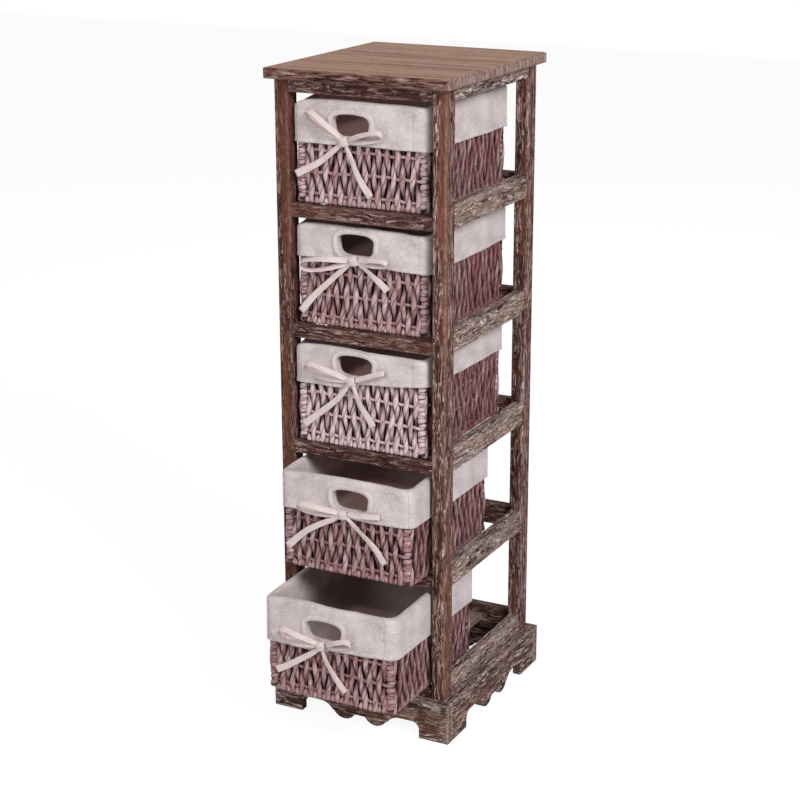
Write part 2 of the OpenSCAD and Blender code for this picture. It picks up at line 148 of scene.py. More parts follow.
@dataclass(frozen=True)
class Outline:
    """A rounded rectangle in plan, run anticlockwise from the middle of its front, in millimetres.

    Attributes:
        x: Place of its middle.
        y: Place of its front.
        width: Size from side to side.
        depth: Size from front to back.
        corner: Radius of its corners.
    """

    x: float
    y: float
    width: float
    depth: float
    corner: float

    @property
    def front(self) -> float:
        """Length of the straight stretch in front."""
        return self.width - 2 * self.corner

    @property
    def side(self) -> float:
        """Length of the straight stretch at a side."""
        return self.depth - 2 * self.corner

    @property
    def arc(self) -> float:
        """Length of a corner."""
        return math.pi / 2 * self.corner

    @property
    def length(self) -> float:
        """Length all round."""
        return 2 * (self.front + self.side) + 4 * self.arc

    def marks(self) -> np.ndarray:
        """Where its straights and corners end, from 0 to its whole length."""
        spans = [self.front / 2, self.arc, self.side, self.arc, self.front, self.arc, self.side,
                 self.arc, self.front / 2]
        return np.concatenate([[0], np.cumsum(spans)])

    def inside(self, gap: float, corner: float) -> "Outline":
        """An outline that lies gap inside this one, with its own corner radius."""
        return Outline(self.x, self.y + gap, self.width - 2 * gap, self.depth - 2 * gap, corner)

    def signed(self, s: np.ndarray) -> np.ndarray:
        """s, counted both ways from the middle of the front: negative on the left."""
        return np.where(s > self.length / 2, s - self.length, s)

    def at(self, s: np.ndarray, out: np.ndarray | float) -> tuple[np.ndarray, np.ndarray]:
        """Points beside the outline.

        Args:
            s: How far round, from the middle of the front towards the right.
            out: How far outside the outline.

        Returns:
            The points' x and y, and the outward directions' x and y.
        """
        s = np.mod(np.asarray(s, float), self.length)
        r = self.corner
        w, d = self.width / 2 - r, self.depth / 2 - r
        corners = ((w, -d, -90.0), (w, d, 0.0), (-w, d, 90.0), (-w, -d, 180.0))
        start = self.front / 2
        spans = (self.side, self.front, self.side, self.front)
        points = np.stack([s, np.full_like(s, -self.depth / 2)], -1)
        normals = np.tile([0.0, -1.0], (s.size, 1)).reshape(s.shape + (2,))
        for (cx, cy, begin), span in zip(corners, spans):
            turn = np.radians(begin + np.clip((s - start) / self.arc, 0, 1) * 90)
            n = np.stack([np.cos(turn), np.sin(turn)], -1)
            run = np.maximum(s - start - self.arc, 0)[..., None]
            p = np.array([cx, cy]) + n * r + np.stack([-n[..., 1], n[..., 0]], -1) * run
            here = (s >= start)[..., None]
            points, normals = np.where(here, p, points), np.where(here, n, normals)
            start += self.arc + span
        middle = np.array([self.x, self.y + self.depth / 2])
        return middle + points + normals * np.asarray(out, float)[..., None], normals


def grid_quads(rows: int, columns: int, closed: bool) -> np.ndarray:
    """Quads of a grid of vertices, which faces out where columns run right and rows run up.

    Args:
        rows: Number of rows.
        columns: Number of columns, in each row.
        closed: Whether the last column meets the first.

    Returns:
        Four vertices for each quad.
    """
    i, j = np.meshgrid(np.arange(rows - 1), np.arange(columns if closed else columns - 1),
                       indexing="ij")
    right = (j + 1) % columns
    return np.stack([i * columns + j, i * columns + right, (i + 1) * columns + right,
                     (i + 1) * columns + j], -1).reshape(-1, 4)


def add_object(name: str, data: bpy.types.ID) -> bpy.types.Object:
    """Makes an object and puts it into the scene."""
    made = bpy.data.objects.new(name, data)
    bpy.context.scene.collection.objects.link(made)
    return made


@dataclass
class MeshParts:
    """Vertices, quads and per-vertex values of a mesh that is put together from many strands."""

    verts: list[np.ndarray] = field(default_factory=list)
    faces: list[np.ndarray] = field(default_factory=list)
    uvs: list[np.ndarray] = field(default_factory=list)
    marks: list[np.ndarray] = field(default_factory=list)
    count: int = 0

    def add(self, verts: np.ndarray, faces: np.ndarray, uv: np.ndarray, mark: np.ndarray) -> None:
        """Adds vertices and quads.

        Args:
            verts: The vertices, in millimetres.
            faces: The quads, by vertex.
            uv: A pair per corner of each quad.
            mark: Three values per vertex, which the finish reads as the colour attribute "fibre".
        """
        self.verts.append(verts)
        self.faces.append(faces + self.count)
        self.uvs.append(uv.reshape(-1, 2))
        self.marks.append(mark)
        self.count += len(verts)

    def add_strand(self, strand: tuple[np.ndarray, ...], tint: float, unshaded: float | np.ndarray,
                   red: float, shift: tuple[float, float] | np.ndarray) -> None:
        """Adds one swept strand.

        Args:
            strand: What sweep returned.
            tint: How pale it is, from 0 to 1.
            unshaded: How little painted shade it gets, from 0 to 1: 1 where it stands out of the
                weave, less where it lies back.
            red: How red it is, from 0 to 1.
            shift: Moves its fibres' pattern, by half turns round it and by millimetres along it.
        """
        verts, quads, uv = strand
        mark = np.stack(np.broadcast_arrays(tint, unshaded, red, verts[:, 0])[:3], -1)
        self.add(verts, quads, uv + np.asarray(shift), mark)

    def add_grid(self, grid: np.ndarray, across: np.ndarray, along: np.ndarray,
                 mark: np.ndarray | tuple[float, ...] = (0.0, 0.0, 0.0), closed: bool = True,
                 flip: bool = False, keep: np.ndarray | None = None) -> None:
        """Adds a grid of vertices.

        Args:
            grid: Its points, by row and column.
            across: The U of its columns, with one more for the seam if that isn't the first's.
            along: The V of its rows.
            mark: Three values per vertex, or three for the whole grid.
            closed: Whether the last column meets the first.
            flip: Whether its quads face the other way.
            keep: Marks the vertices whose quads stay, if some go.
        """
        rows, columns = grid.shape[:2]
        quads = grid_quads(rows, columns, closed)[:, ::-1 if flip else 1]
        if keep is not None:
            quads = quads[keep.reshape(-1)[quads].all(-1)]
        column = quads % columns
        at_seam = (column == 0) & (column.max(-1, keepdims=True) > columns / 2)
        column = np.where(at_seam, columns, column) % len(across)
        verts = grid.reshape(-1, 3)
        self.add(verts, quads, np.stack([across[column], along[quads // columns]], -1),
                 np.broadcast_to(mark, verts.shape))

    def build(self, name: str) -> bpy.types.Object:
        """Makes the mesh object, smooth all over, at the origin."""
        mesh = bpy.data.meshes.new(name)
        verts, faces = np.concatenate(self.verts) * MM, np.concatenate(self.faces)
        mesh.from_pydata(verts.tolist(), [], faces.astype(int).tolist())
        layer = mesh.uv_layers.new(name="lay")
        layer.data.foreach_set("uv", np.concatenate(self.uvs).astype(np.float32).ravel())
        marks = mesh.attributes.new("fibre", "FLOAT_COLOR", "POINT")
        values = np.pad(np.concatenate(self.marks), ((0, 0), (0, 1)), constant_values=1.0)
        marks.data.foreach_set("color", values.astype(np.float32).ravel())
        mesh.shade_smooth()
        return add_object(name, mesh)


def sweep(line: np.ndarray, side: np.ndarray, corners: int, half_w: np.ndarray | float,
          half_h: np.ndarray | float, turns: np.ndarray, dent: float = 0.12,
          closed: bool = False) -> tuple[np.ndarray, np.ndarray, np.ndarray]:
    """Sweeps a round section along a line, with grooves that wind round it as a cord's plies do.

    Args:
        line: Centre points, in millimetres.
        side: The direction of the section's width, everywhere or at each point.
        corners: How many corners the section has.
        half_w: Half the width, everywhere or at each point.
        half_h: Half the height, everywhere or at each point.
        turns: The grooves' turn at each point, in radians.
        dent: Depth of the two grooves, as a share of the radius.
        closed: Whether the line's end meets its start.

    Returns:
        Vertices, quads and a UV pair per corner: round, with the grooves at whole half turns, and
        along in millimetres.
    """
    step = np.roll(line, -1, 0) - np.roll(line, 1, 0) if closed else np.gradient(line, axis=0)
    along = unit(step)
    side = square_to(along, side)
    up = np.cross(along, side)
    n, m, section = len(line), corners, ring_angles(corners)
    half_w, half_h = (np.broadcast_to(half, n)[:, None] for half in (half_w, half_h))
    radius = 1 - dent * np.cos(section - turns[:, None]) ** 6
    w = (np.cos(section) * radius * half_w)[..., None]
    h = (np.sin(section) * radius * half_h)[..., None]
    verts = (line[:, None, :] + side[:, None, :] * w + up[:, None, :] * h).reshape(-1, 3)
    i, j = np.meshgrid(np.arange(n if closed else n - 1), np.arange(m), indexing="ij")
    i2, j2 = (i + 1) % n, (j + 1) % m
    quads = np.stack([i * m + j, i * m + j2, i2 * m + j2, i2 * m + j], -1).reshape(-1, 4)
    reach = reach_along(line)
    reach = np.append(reach, reach[-1] + np.linalg.norm(line[0] - line[-1]))
    lay = np.append(turns, turns[0]) / (2 * math.pi)
    uv = np.stack([np.stack([u - lay[row], reach[row]], -1) for u, row in
                   ((j / m, i), ((j + 1) / m, i), ((j + 1) / m, i + 1), (j / m, i + 1))], -2)
    uv = uv.reshape(-1, 4, 2)
    if not closed:
        first, last = np.arange(m), np.arange(m) + (n - 1) * m
        caps = [[ring[k], ring[(k + 1) % m], ring[m - 2 - k], ring[m - 1 - k]]
                for ring in (first[::-1], last) for k in range(m // 2 - 1)]
        quads, uv = np.vstack([quads, caps]), np.concatenate([uv, np.zeros((len(caps), 4, 2))])
    return verts, quads, uv.reshape(-1, 2)


# Shader graphs


@dataclass
class Graph:
    """Adds nodes to a node tree in few words. An input takes a value or another node's socket."""

    tree: bpy.types.NodeTree

    def fill(self, node: bpy.types.Node, inputs: dict) -> None:
        """Gives a node its inputs, by name or number."""
        for key, value in inputs.items():
            if isinstance(value, bpy.types.NodeSocket):
                self.tree.links.new(value, node.inputs[key])
            else:
                node.inputs[key].default_value = value

    def node(self, kind: str, inputs: dict | None = None, **settings: object) -> bpy.types.Node:
        """Adds a node.

        Args:
            kind: The node's type.
            inputs: Its inputs, by name or number.
            settings: Values for its own properties.

        Returns:
            The node.
        """
        made = self.tree.nodes.new(kind)
        for key, value in settings.items():
            setattr(made, key, value)
        self.fill(made, inputs or {})
        return made

    def effect(self, tree: bpy.types.NodeTree, inputs: dict) -> object:
        """The outputs of a node group, by name."""
        return self.node("ShaderNodeGroup", inputs, node_tree=tree).outputs

    def math(self, operation: str, a: object, b: object = 0.0, clamp: bool = False) -> object:
        """The output of a Math node."""
        made = self.node("ShaderNodeMath", {0: a, 1: b}, operation=operation, use_clamp=clamp)
        return made.outputs[0]

    def vector(self, operation: str, inputs: dict) -> object:
        """The output of a Vector Math node."""
        return self.node("ShaderNodeVectorMath", inputs, operation=operation).outputs[0]

    def mapped(self, vector: object, **inputs: object) -> object:
        """The output of a Mapping node."""
        return self.node("ShaderNodeMapping", {"Vector": vector, **inputs}).outputs[0]

    def spread(self, value: object, low: float, high: float, to_low: float = 0.0,
               to_high: float = 1.0) -> object:
        """value, mapped smoothly from low..high onto to_low..to_high."""
        made = self.node("ShaderNodeMapRange", {"Value": value, "From Min": low, "From Max": high,
                                                "To Min": to_low, "To Max": to_high},
                         interpolation_type="SMOOTHSTEP")
        return made.outputs[0]

    def mix(self, share: object, a: object, b: object) -> object:
        """The colour output of a Mix node."""
        made = self.node("ShaderNodeMix", {"Factor": share, 6: a, 7: b}, data_type="RGBA")
        return made.outputs[2]

    def noise(self, vector: object, scale: float, detail: float = 3.0, rough: float = 0.5,
              warp: float = 0.0) -> object:
        """The value output of a Noise Texture."""
        made = self.node("ShaderNodeTexNoise", {"Vector": vector, "Scale": scale, "Detail": detail,
                                                "Roughness": rough, "Distortion": warp})
        return made.outputs[0]

    def cover(self, shader: bpy.types.Node, colour: object, height: object, strength: float,
              depth: float, shine: float) -> None:
        """Gives a shader its colour, its relief and its shine.

        Args:
            shader: The Principled shader.
            colour: Its colour.
            height: Its relief, from 0 to 1.
            strength: Strength of the relief.
            depth: Depth of the relief, in millimetres.
            shine: Its specular level.
        """
        bump = self.node("ShaderNodeBump", {"Height": height, "Strength": strength,
                                            "Distance": depth * MM})
        self.fill(shader, {"Base Color": colour, "Normal": bump.outputs[0],
                           "Specular IOR Level": shine})


def rgba(colour: Colour) -> tuple[float, float, float, float]:
    """A colour given as sRGB from 0 to 255, as the linear values that a socket takes."""
    linear = [((c / 255 + 0.055) / 1.055) ** 2.4 if c > 10 else c / 255 / 12.92 for c in colour]
    return (*linear, 1.0)


def start_group(name: str, inputs: dict[str, str],
                outputs: tuple[str, ...]) -> tuple[Graph, object]:
    """Makes an empty shader node group.

    Args:
        name: The group's name.
        inputs: Kinds of its input sockets, by name.
        outputs: Names of its output sockets, which are all numbers.

    Returns:
        The group's graph, and what is given to it, by name.
    """
    g = Graph(bpy.data.node_groups.new(name, "ShaderNodeTree"))
    for label, kind in inputs.items():
        g.tree.interface.new_socket(label, in_out="INPUT", socket_type=f"NodeSocket{kind}")
    for label in outputs:
        g.tree.interface.new_socket(label, in_out="OUTPUT", socket_type="NodeSocketFloat")
    return g, g.node("NodeGroupInput").outputs


def timber_grain() -> bpy.types.NodeTree:
    """Grain of brushed, limed wood, with the grain along the vector's Z."""
    g, given = start_group("timber_grain", {"Vector": "Vector"},
                           ("Tone", "Line", "Fine", "Lime", "Height"))
    stretch = {w: g.mapped(given["Vector"], Scale=(1, 1, w)) for w in (0.03, 0.1, 0.13, 0.2, 0.35)}
    bent = g.node("ShaderNodeTexNoise", {"Vector": stretch[0.35], "Scale": 62.0, "Detail": 2.0})
    shift = g.vector("SUBTRACT", {0: bent.outputs["Color"], 1: (0.5, 0.5, 0.5)})
    shift = g.vector("SCALE", {0: shift, "Scale": 0.014})
    waved = {w: g.vector("ADD", {0: stretch[w], 1: shift}) for w in (0.1, 0.13, 0.2)}
    coarse, middle, fine = (
        g.spread(g.math("ABSOLUTE", g.math("SUBTRACT", g.noise(waved[w], scale, 2, 0.5), 0.5)),
                 wide, 0.1 * wide)
        for w, scale, wide in ((0.1, 190, 0.09), (0.2, 290, 0.095), (0.13, 480, 0.11)))
    whole = g.spread(g.noise(stretch[0.2], 75, 2, 0.5), 0.36, 0.56, 0.35, 1.0)
    line = g.math("MAXIMUM", g.math("MULTIPLY", coarse, whole), g.math("MULTIPLY", middle, 0.8))
    lime = g.noise(waved[0.1], 350, 3, 0.7)
    height = g.math("SUBTRACT", g.math("ADD", g.math("MULTIPLY", lime, 0.5), 0.5), line)
    g.node("NodeGroupOutput", {"Tone": g.noise(stretch[0.03], 85, 2, 0.5, 0.2), "Line": line,
                               "Fine": fine, "Lime": lime, "Height": height})
    return g.tree


def edge_wear() -> bpy.types.NodeTree:
    """Rubbed edges of a board: 1 along its long edges and 0 on its flats, broken up by noise."""
    g, given = start_group("edge_wear", {"Vector": "Vector", "Half Size": "Vector",
                                         "Width": "Float"}, ("Mask",))
    away = g.vector("ABSOLUTE", {0: given["Vector"]})
    gap = g.vector("SUBTRACT", {0: given["Half Size"], 1: away})
    near = [g.math("SUBTRACT", 1.0, g.math("DIVIDE", part, given["Width"], True), True)
            for part in g.node("ShaderNodeSeparateXYZ", {0: gap}).outputs]
    pairs = [g.math("MULTIPLY", near[a], near[b]) for a, b in ((0, 1), (1, 2), (0, 2))]
    both = g.math("MAXIMUM", g.math("MAXIMUM", pairs[0], pairs[1]), pairs[2])
    rough = g.spread(g.noise(given["Vector"], 190, 3, 0.7), 0.35, 0.65, 0.25, 1.0)
    g.node("NodeGroupOutput", {"Mask": g.math("MULTIPLY", both, rough, True)})
    return g.tree


def fibre_lay() -> bpy.types.NodeTree:
    """Plies and fine fibres of a twisted cord, on its UV map (round, along in millimetres)."""
    g, given = start_group("fibre_lay", {"Vector": "Vector"}, ("Fibre", "Blotch", "Ply"))
    fine = g.mapped(given["Vector"], Scale=(9.0, 0.09, 1.0))
    broad = g.mapped(given["Vector"], Scale=(1.2, 0.05, 1.0))
    around = g.node("ShaderNodeSeparateXYZ", {0: given["Vector"]}).outputs[0]
    ply = g.math("ABSOLUTE", g.math("SINE", g.math("MULTIPLY", around, 2 * math.pi)))
    g.node("NodeGroupOutput", {"Fibre": g.noise(fine, 1.6, 3, 0.65),
                               "Blotch": g.noise(broad, 1.0, 2, 0.6), "Ply": ply})
    return g.tree


def linen_cloth() -> bpy.types.NodeTree:
    """Slubs and threads of washed linen, on a UV map in millimetres."""
    g, given = start_group("linen_cloth", {"Vector": "Vector"}, ("Slub", "Height"))
    across, down = (g.noise(g.mapped(given["Vector"], Scale=scale), 1.0, 3, 0.6)
                    for scale in ((0.12, 1.5, 1.0), (1.5, 0.12, 1.0)))
    thread = g.math("MULTIPLY", g.math("ADD", across, down), 0.5)
    cloud = g.noise(given["Vector"], 0.03, 2, 0.5)
    slub = g.math("ADD", g.math("MULTIPLY", thread, 0.72), g.math("MULTIPLY", cloud, 0.28))
    g.node("NodeGroupOutput", {"Slub": slub, "Height": thread})
    return g.tree


@dataclass
class Groups:
    """The shared effects, each a node group."""

    grain: bpy.types.NodeTree = field(default_factory=timber_grain)
    wear: bpy.types.NodeTree = field(default_factory=edge_wear)
    fibre: bpy.types.NodeTree = field(default_factory=fibre_lay)
    linen: bpy.types.NodeTree = field(default_factory=linen_cloth)


def start_material(name: str,
                   roughness: float) -> tuple[bpy.types.Material, Graph, bpy.types.Node]:
    """Makes a material with a Principled shader.

    Args:
        name: The material's name.
        roughness: Its roughness.

    Returns:
        The material, its graph and the shader node.
    """
    material = bpy.data.materials.new(name)
    material.use_nodes = True
    shader = material.node_tree.nodes["Principled BSDF"]
    shader.inputs["Roughness"].default_value = roughness
    return material, Graph(material.node_tree), shader


@dataclass(frozen=True)
class LimedWood:
    """Weathered wood, brushed and limed.

    Attributes:
        dark: Colour in the grain's lines.
        mid: Colour of the wood.
        warm: Colour where the wood is redder, which takes little lime.
        lime: Colour of the lime in its pores.
        limed: Share of the surface that the lime covers.
        lined: Strength of the grain's lines.
        fine: Strength of the finest lines between them.
        calm: How plain the redder stripes are, from 0 to 1.
        worn: Share of wear along the edges.
        relief: Depth of the brushed grain, in millimetres.
    """

    dark: Colour
    mid: Colour
    warm: Colour
    lime: Colour
    limed: float = 0.9
    lined: float = 0.9
    fine: float = 0.4
    calm: float = 0.8
    worn: float = 0.5
    relief: float = 0.6

    def on_board(self, node: str, axis: Axis, groups: Groups, seed: int) -> bpy.types.Material:
        """The finish for one board, with its grain along axis.

        Args:
            node: The board's name in the frame.
            axis: The way its grain runs.
            groups: The shared effects.
            seed: Moves the grain, so that no two boards match.

        Returns:
            The material.
        """
        low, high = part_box(node)
        middle, half = (low + high) / 2, (high - low) / 2
        material, g, shader = start_material(f"wood_{node}", 0.74)
        place = g.node("ShaderNodeTexCoord").outputs["Object"]
        centred = g.vector("SUBTRACT", {0: place, 1: middle})
        offset = (0.37 * seed, 0.61 * seed % 5.0, 0.23 * seed)
        laid = g.mapped(centred, Location=offset, Rotation=axis.value)
        grain = g.effect(groups.grain, {"Vector": laid})
        wear = g.effect(groups.wear, {"Vector": centred, "Half Size": half, "Width": 5 * MM})
        redder = g.spread(grain["Tone"], 0.53, 0.59)
        lime = g.spread(grain["Lime"], 0.49, 0.57, 0.05 * self.limed, self.limed)
        lime = g.math("MULTIPLY", lime, g.spread(redder, 0.0, 1.0, 1.0, 1 - self.calm))
        rubbed = g.math("MULTIPLY", wear["Mask"], self.worn)
        wood = g.mix(redder, rgba(self.mid), rgba(self.warm))
        wood = g.mix(g.math("MAXIMUM", lime, rubbed), wood, rgba(self.lime))
        line = g.math("MAXIMUM", g.math("MULTIPLY", grain["Line"], self.lined),
                      g.math("MULTIPLY", grain["Fine"], self.fine))
        line = g.math("MULTIPLY", line, g.spread(redder, 0.0, 1.0, 1.0, 1 - 0.5 * self.calm))
        wood = self.finish_edges(g, g.mix(line, wood, rgba(self.dark)), centred, half)
        g.cover(shader, wood, grain["Height"], 1.0, self.relief, 0.12)
        return material

    def finish_edges(self, g: Graph, wood: object, centred: object, half: Vector) -> object:
        """The wood's colour with its edges' own finish, which plain boards don't have."""
        return wood


@dataclass(frozen=True)
class EdgedWood(LimedWood):
    """Wood whose front and rear edges are darker, and whose end grain is paler.

    Attributes:
        edge: Colour of the front and rear edges.
        end: Colour of the end grain.
        groove: Colour of the edges' deepest lines.
    """

    edge: Colour = (122, 86, 78)
    end: Colour = (172, 152, 147)
    groove: Colour = (34, 13, 11)

    def finish_edges(self, g: Graph, wood: object, centred: object, half: Vector) -> object:
        """The wood's colour with its dark edges and pale end grain.

        Args:
            g: The material's graph.
            wood: The colour of the face.
            centred: Place from the board's middle.
            half: Half the board's size.

        Returns:
            The colour.
        """
        x, y, _ = g.node("ShaderNodeSeparateXYZ", {0: centred}).outputs
        streak = g.noise(g.mapped(centred, Scale=(0.1, 1, 1)), 360, 3, 0.7, 0.6)
        edge = g.mix(g.spread(streak, 0.4, 0.53), rgba(self.groove), rgba(self.edge))
        edge = g.mix(g.spread(streak, 0.56, 0.66), edge, rgba(self.end))
        slant = g.mapped(centred, Rotation=(0.7, 0, 0), Scale=(1, 1, 0.15))
        ring = g.spread(g.noise(slant, 300, 3, 0.7), 0.4, 0.62)
        end = g.mix(ring, rgba(self.edge), rgba(self.end))
        front, side = (g.spread(g.math("ABSOLUTE", away), reach - 4 * MM, reach - 1 * MM)
                       for away, reach in ((y, half.y), (x, half.x)))
        return g.mix(side, g.mix(front, wood, edge), end)


@dataclass(frozen=True)
class FibreCord:
    """Twisted fibre cord, stained.

    Attributes:
        deep: Colour of dark fibres, and of the painted shade in the gaps and grooves.
        mid: Colour of the cord.
        pale: Colour of its palest strands.
        red: Colour of its reddest strands.
    """

    deep: Colour = (36, 16, 18)
    mid: Colour = (173, 132, 132)
    pale: Colour = (228, 203, 207)
    red: Colour = (148, 94, 92)

    def make(self, groups: Groups) -> bpy.types.Material:
        """The material, which reads the UV map "lay" and the attribute "fibre"."""
        material, g, shader = start_material("fibre_cord", 0.72)
        deep = rgba(self.deep)
        lay = g.node("ShaderNodeUVMap", uv_map="lay").outputs[0]
        cord = g.effect(groups.fibre, {"Vector": lay})
        mark = g.node("ShaderNodeVertexColor", layer_name="fibre").outputs["Color"]
        tint, unshaded, red = g.node("ShaderNodeSeparateColor", {0: mark}).outputs
        paler = g.math("ADD", tint, g.spread(cord["Blotch"], 0.3, 0.7, -0.22, 0.22), True)
        strand = g.mix(paler, rgba(self.mid), rgba(self.pale))
        reddish = g.spread(cord["Blotch"], 0.66, 0.4, 0.0, 0.5)
        reddish = g.math("MULTIPLY", reddish, g.math("SUBTRACT", 1.0, tint))
        strand = g.mix(g.math("ADD", reddish, red, True), strand, rgba(self.red))
        strand = g.mix(g.spread(cord["Fibre"], 0.52, 0.3, 0.0, 0.4), strand, deep)
        # Painted shade in the grooves between the plies.
        strand = g.mix(g.spread(cord["Ply"], 0.5, 0.0, 0.0, 0.6), strand, deep)
        # Painted shade where the strand lies back in the weave, as its mark asks.
        strand = g.mix(g.spread(unshaded, 0.85, 0.15), strand, deep)
        height = g.math("ADD", g.math("POWER", cord["Ply"], 0.6),
                        g.math("MULTIPLY", cord["Fibre"], 0.5))
        g.cover(shader, strand, height, 0.9, 1.0, 0.12)
        return material


@dataclass(frozen=True)
class Linen:
    """Washed linen or its ribbon.

    Attributes:
        name: The material's name.
        cloth: Colour of the cloth.
        slub: Colour of its thicker threads.
        shadow: Colour in its sewn lines, and of the painted shade deep in a basket.
        relief: Depth of its threads, in millimetres.
        painted_glow: Colour of the painted glow deep in a basket, which the cloth emits though no
            lamp is there.
    """

    name: str
    cloth: Colour
    slub: Colour
    shadow: Colour
    relief: float
    painted_glow: Colour = (86, 69, 65)

    def make(self, groups: Groups) -> bpy.types.Material:
        """The material, which reads the UV map "lay" in millimetres and the attribute "fibre"."""
        material, g, shader = start_material(self.name, 0.9)
        lay = g.node("ShaderNodeUVMap", uv_map="lay").outputs[0]
        linen = g.effect(groups.linen, {"Vector": lay})
        cloth = g.mix(g.spread(linen["Slub"], 0.4, 0.62), rgba(self.cloth), rgba(self.slub))
        mark = g.node("ShaderNodeVertexColor", layer_name="fibre").outputs["Color"]
        sewn, deep, glow_share = g.node("ShaderNodeSeparateColor", {0: mark}).outputs
        # Sewn lines take the shadow colour; lower in a basket's bag it is painted shade.
        for share, most in ((sewn, 0.5), (deep, 0.75)):
            cloth = g.mix(g.math("MULTIPLY", share, most), cloth, rgba(self.shadow))
        g.cover(shader, cloth, linen["Height"], 0.7, self.relief, 0.15)
        # Painted glow: the cloth emits the glow colour where its mark asks, which lifts the shade
        # deep in a basket.
        g.fill(shader, {"Emission Color": g.mix(glow_share, (0, 0, 0, 1), rgba(self.painted_glow)),
                        "Emission Strength": 1.0, "Sheen Weight": 0.15})
        return material


@dataclass(frozen=True)
class Steel:
    """Plain or plated steel, with fine drawing marks.

    Attributes:
        name: The material's name.
        colour: Colour of the metal.
        roughness: Roughness of the metal.
        marked: Colour in its drawing marks.
    """

    name: str
    colour: Colour
    roughness: float
    marked: Colour = (88, 80, 76)

    def make(self) -> bpy.types.Material:
        """The material, on Object coordinates."""
        material, g, shader = start_material(self.name, self.roughness)
        marks = g.noise(g.node("ShaderNodeTexCoord").outputs["Object"], 900, 3, 0.6)
        dull = g.mix(g.spread(marks, 0.45, 0.7), rgba(self.colour), rgba(self.marked))
        rough = g.spread(marks, 0.2, 0.8, self.roughness - 0.1, self.roughness + 0.2)
        g.fill(shader, {"Base Color": dull, "Roughness": rough, "Metallic": 1.0})
        return material


POST_WOOD = LimedWood(dark=(34, 12, 10), mid=(104, 61, 52), warm=(124, 76, 56),
                      lime=(228, 194, 184), limed=0.85)
# Painted shade: a darker copy of the post wood for the front left post, which stands away from the
# key light.
SHADED_POST_WOOD = LimedWood(dark=(30, 10, 8), mid=(86, 48, 39), warm=(108, 62, 44),
                           lime=(200, 164, 152), limed=0.75, worn=0.4)
RAIL_WOOD = LimedWood(dark=(34, 16, 14), mid=(194, 162, 150), warm=(178, 142, 128),
                      lime=(244, 226, 218), lined=1.0, fine=0.6, calm=0.2, worn=0.6)
CROSS_WOOD = LimedWood(dark=(32, 11, 10), mid=(92, 54, 48), warm=(104, 60, 49),
                       lime=(204, 170, 162), limed=0.8, calm=0.4)
TOP_WOOD = EdgedWood(dark=(86, 52, 40), mid=(182, 142, 118), warm=(132, 96, 78),
                     lime=(206, 170, 148), limed=0.6, lined=0.4, fine=0.35, calm=0.2, worn=0.0,
                     relief=0.15)
PLINTH_WOOD = LimedWood(dark=(28, 11, 10), mid=(92, 57, 49), warm=(120, 77, 62),
                        lime=(248, 221, 212), fine=0.45, calm=0.5, worn=1.0, relief=0.5)
SLAT_WOOD = LimedWood(dark=(96, 74, 64), mid=(140, 114, 100), warm=(152, 124, 106),
                      lime=(188, 172, 160), limed=0.5, lined=0.5, fine=0.2, calm=0.3, worn=0.2,
                      relief=0.3)
LINER_LINEN = Linen("liner_linen", (225, 213, 213), (180, 167, 168), (140, 126, 126), 0.3)
BOW_RIBBON = Linen("bow_ribbon", (228, 212, 209), (210, 192, 190), (160, 144, 142), 0.1)
PLATED_STEEL = Steel("plated_steel", (190, 188, 182), 0.35)
ANNEALED_STEEL = Steel("annealed_steel", (70, 64, 62), 0.62)


@dataclass(frozen=True)
class Camera:
    """The photograph's camera.

    Attributes:
        place: Where it stands, in metres.
        yaw: How far it is turned to the left, in degrees.
        pitch: How far it looks down, in degrees.
        roll: How far it is rolled, in degrees.
        lens: Focal length for a sensor of 36 mm.
    """

    place: tuple[float, float, float] = (1.1447, -2.2390, 1.2255)
    yaw: float = 27.36
    pitch: float = 17.56
    roll: float = -0.145
    lens: float = 85.4

    def make(self) -> None:
        """Makes the camera and gives it to the scene."""
        data = bpy.data.cameras.new("photo_camera")
        data.sensor_width, data.lens = 36.0, self.lens
        camera = add_object("photo_camera", data)
        camera.location = self.place
        camera.rotation_mode = "QUATERNION"
        camera.rotation_quaternion = (Quaternion((0, 0, 1), math.radians(self.yaw))
                                      @ Quaternion((1, 0, 0), math.radians(90 - self.pitch))
                                      @ Quaternion((0, 0, 1), math.radians(self.roll)))
        bpy.context.scene.camera = camera


@dataclass(frozen=True)
class Softbox:
    """A square area light that looks at the middle of the rack.

    Attributes:
        name: The light's name.
        place: Where it stands, in metres.
        size: Length of its sides, in metres.
        watts: Its power.
    """

    name: str
    place: tuple[float, float, float]
    size: float
    watts: float

    def make(self) -> None:
        """Makes the light."""
        data = bpy.data.lights.new(self.name, "AREA")
        data.energy, data.size = self.watts, self.size
        light = add_object(self.name, data)
        light.location = self.place
        aim = Vector((0, 0, 0.45)) - Vector(self.place)
        light.rotation_euler = aim.to_track_quat("-Z", "Y").to_euler()


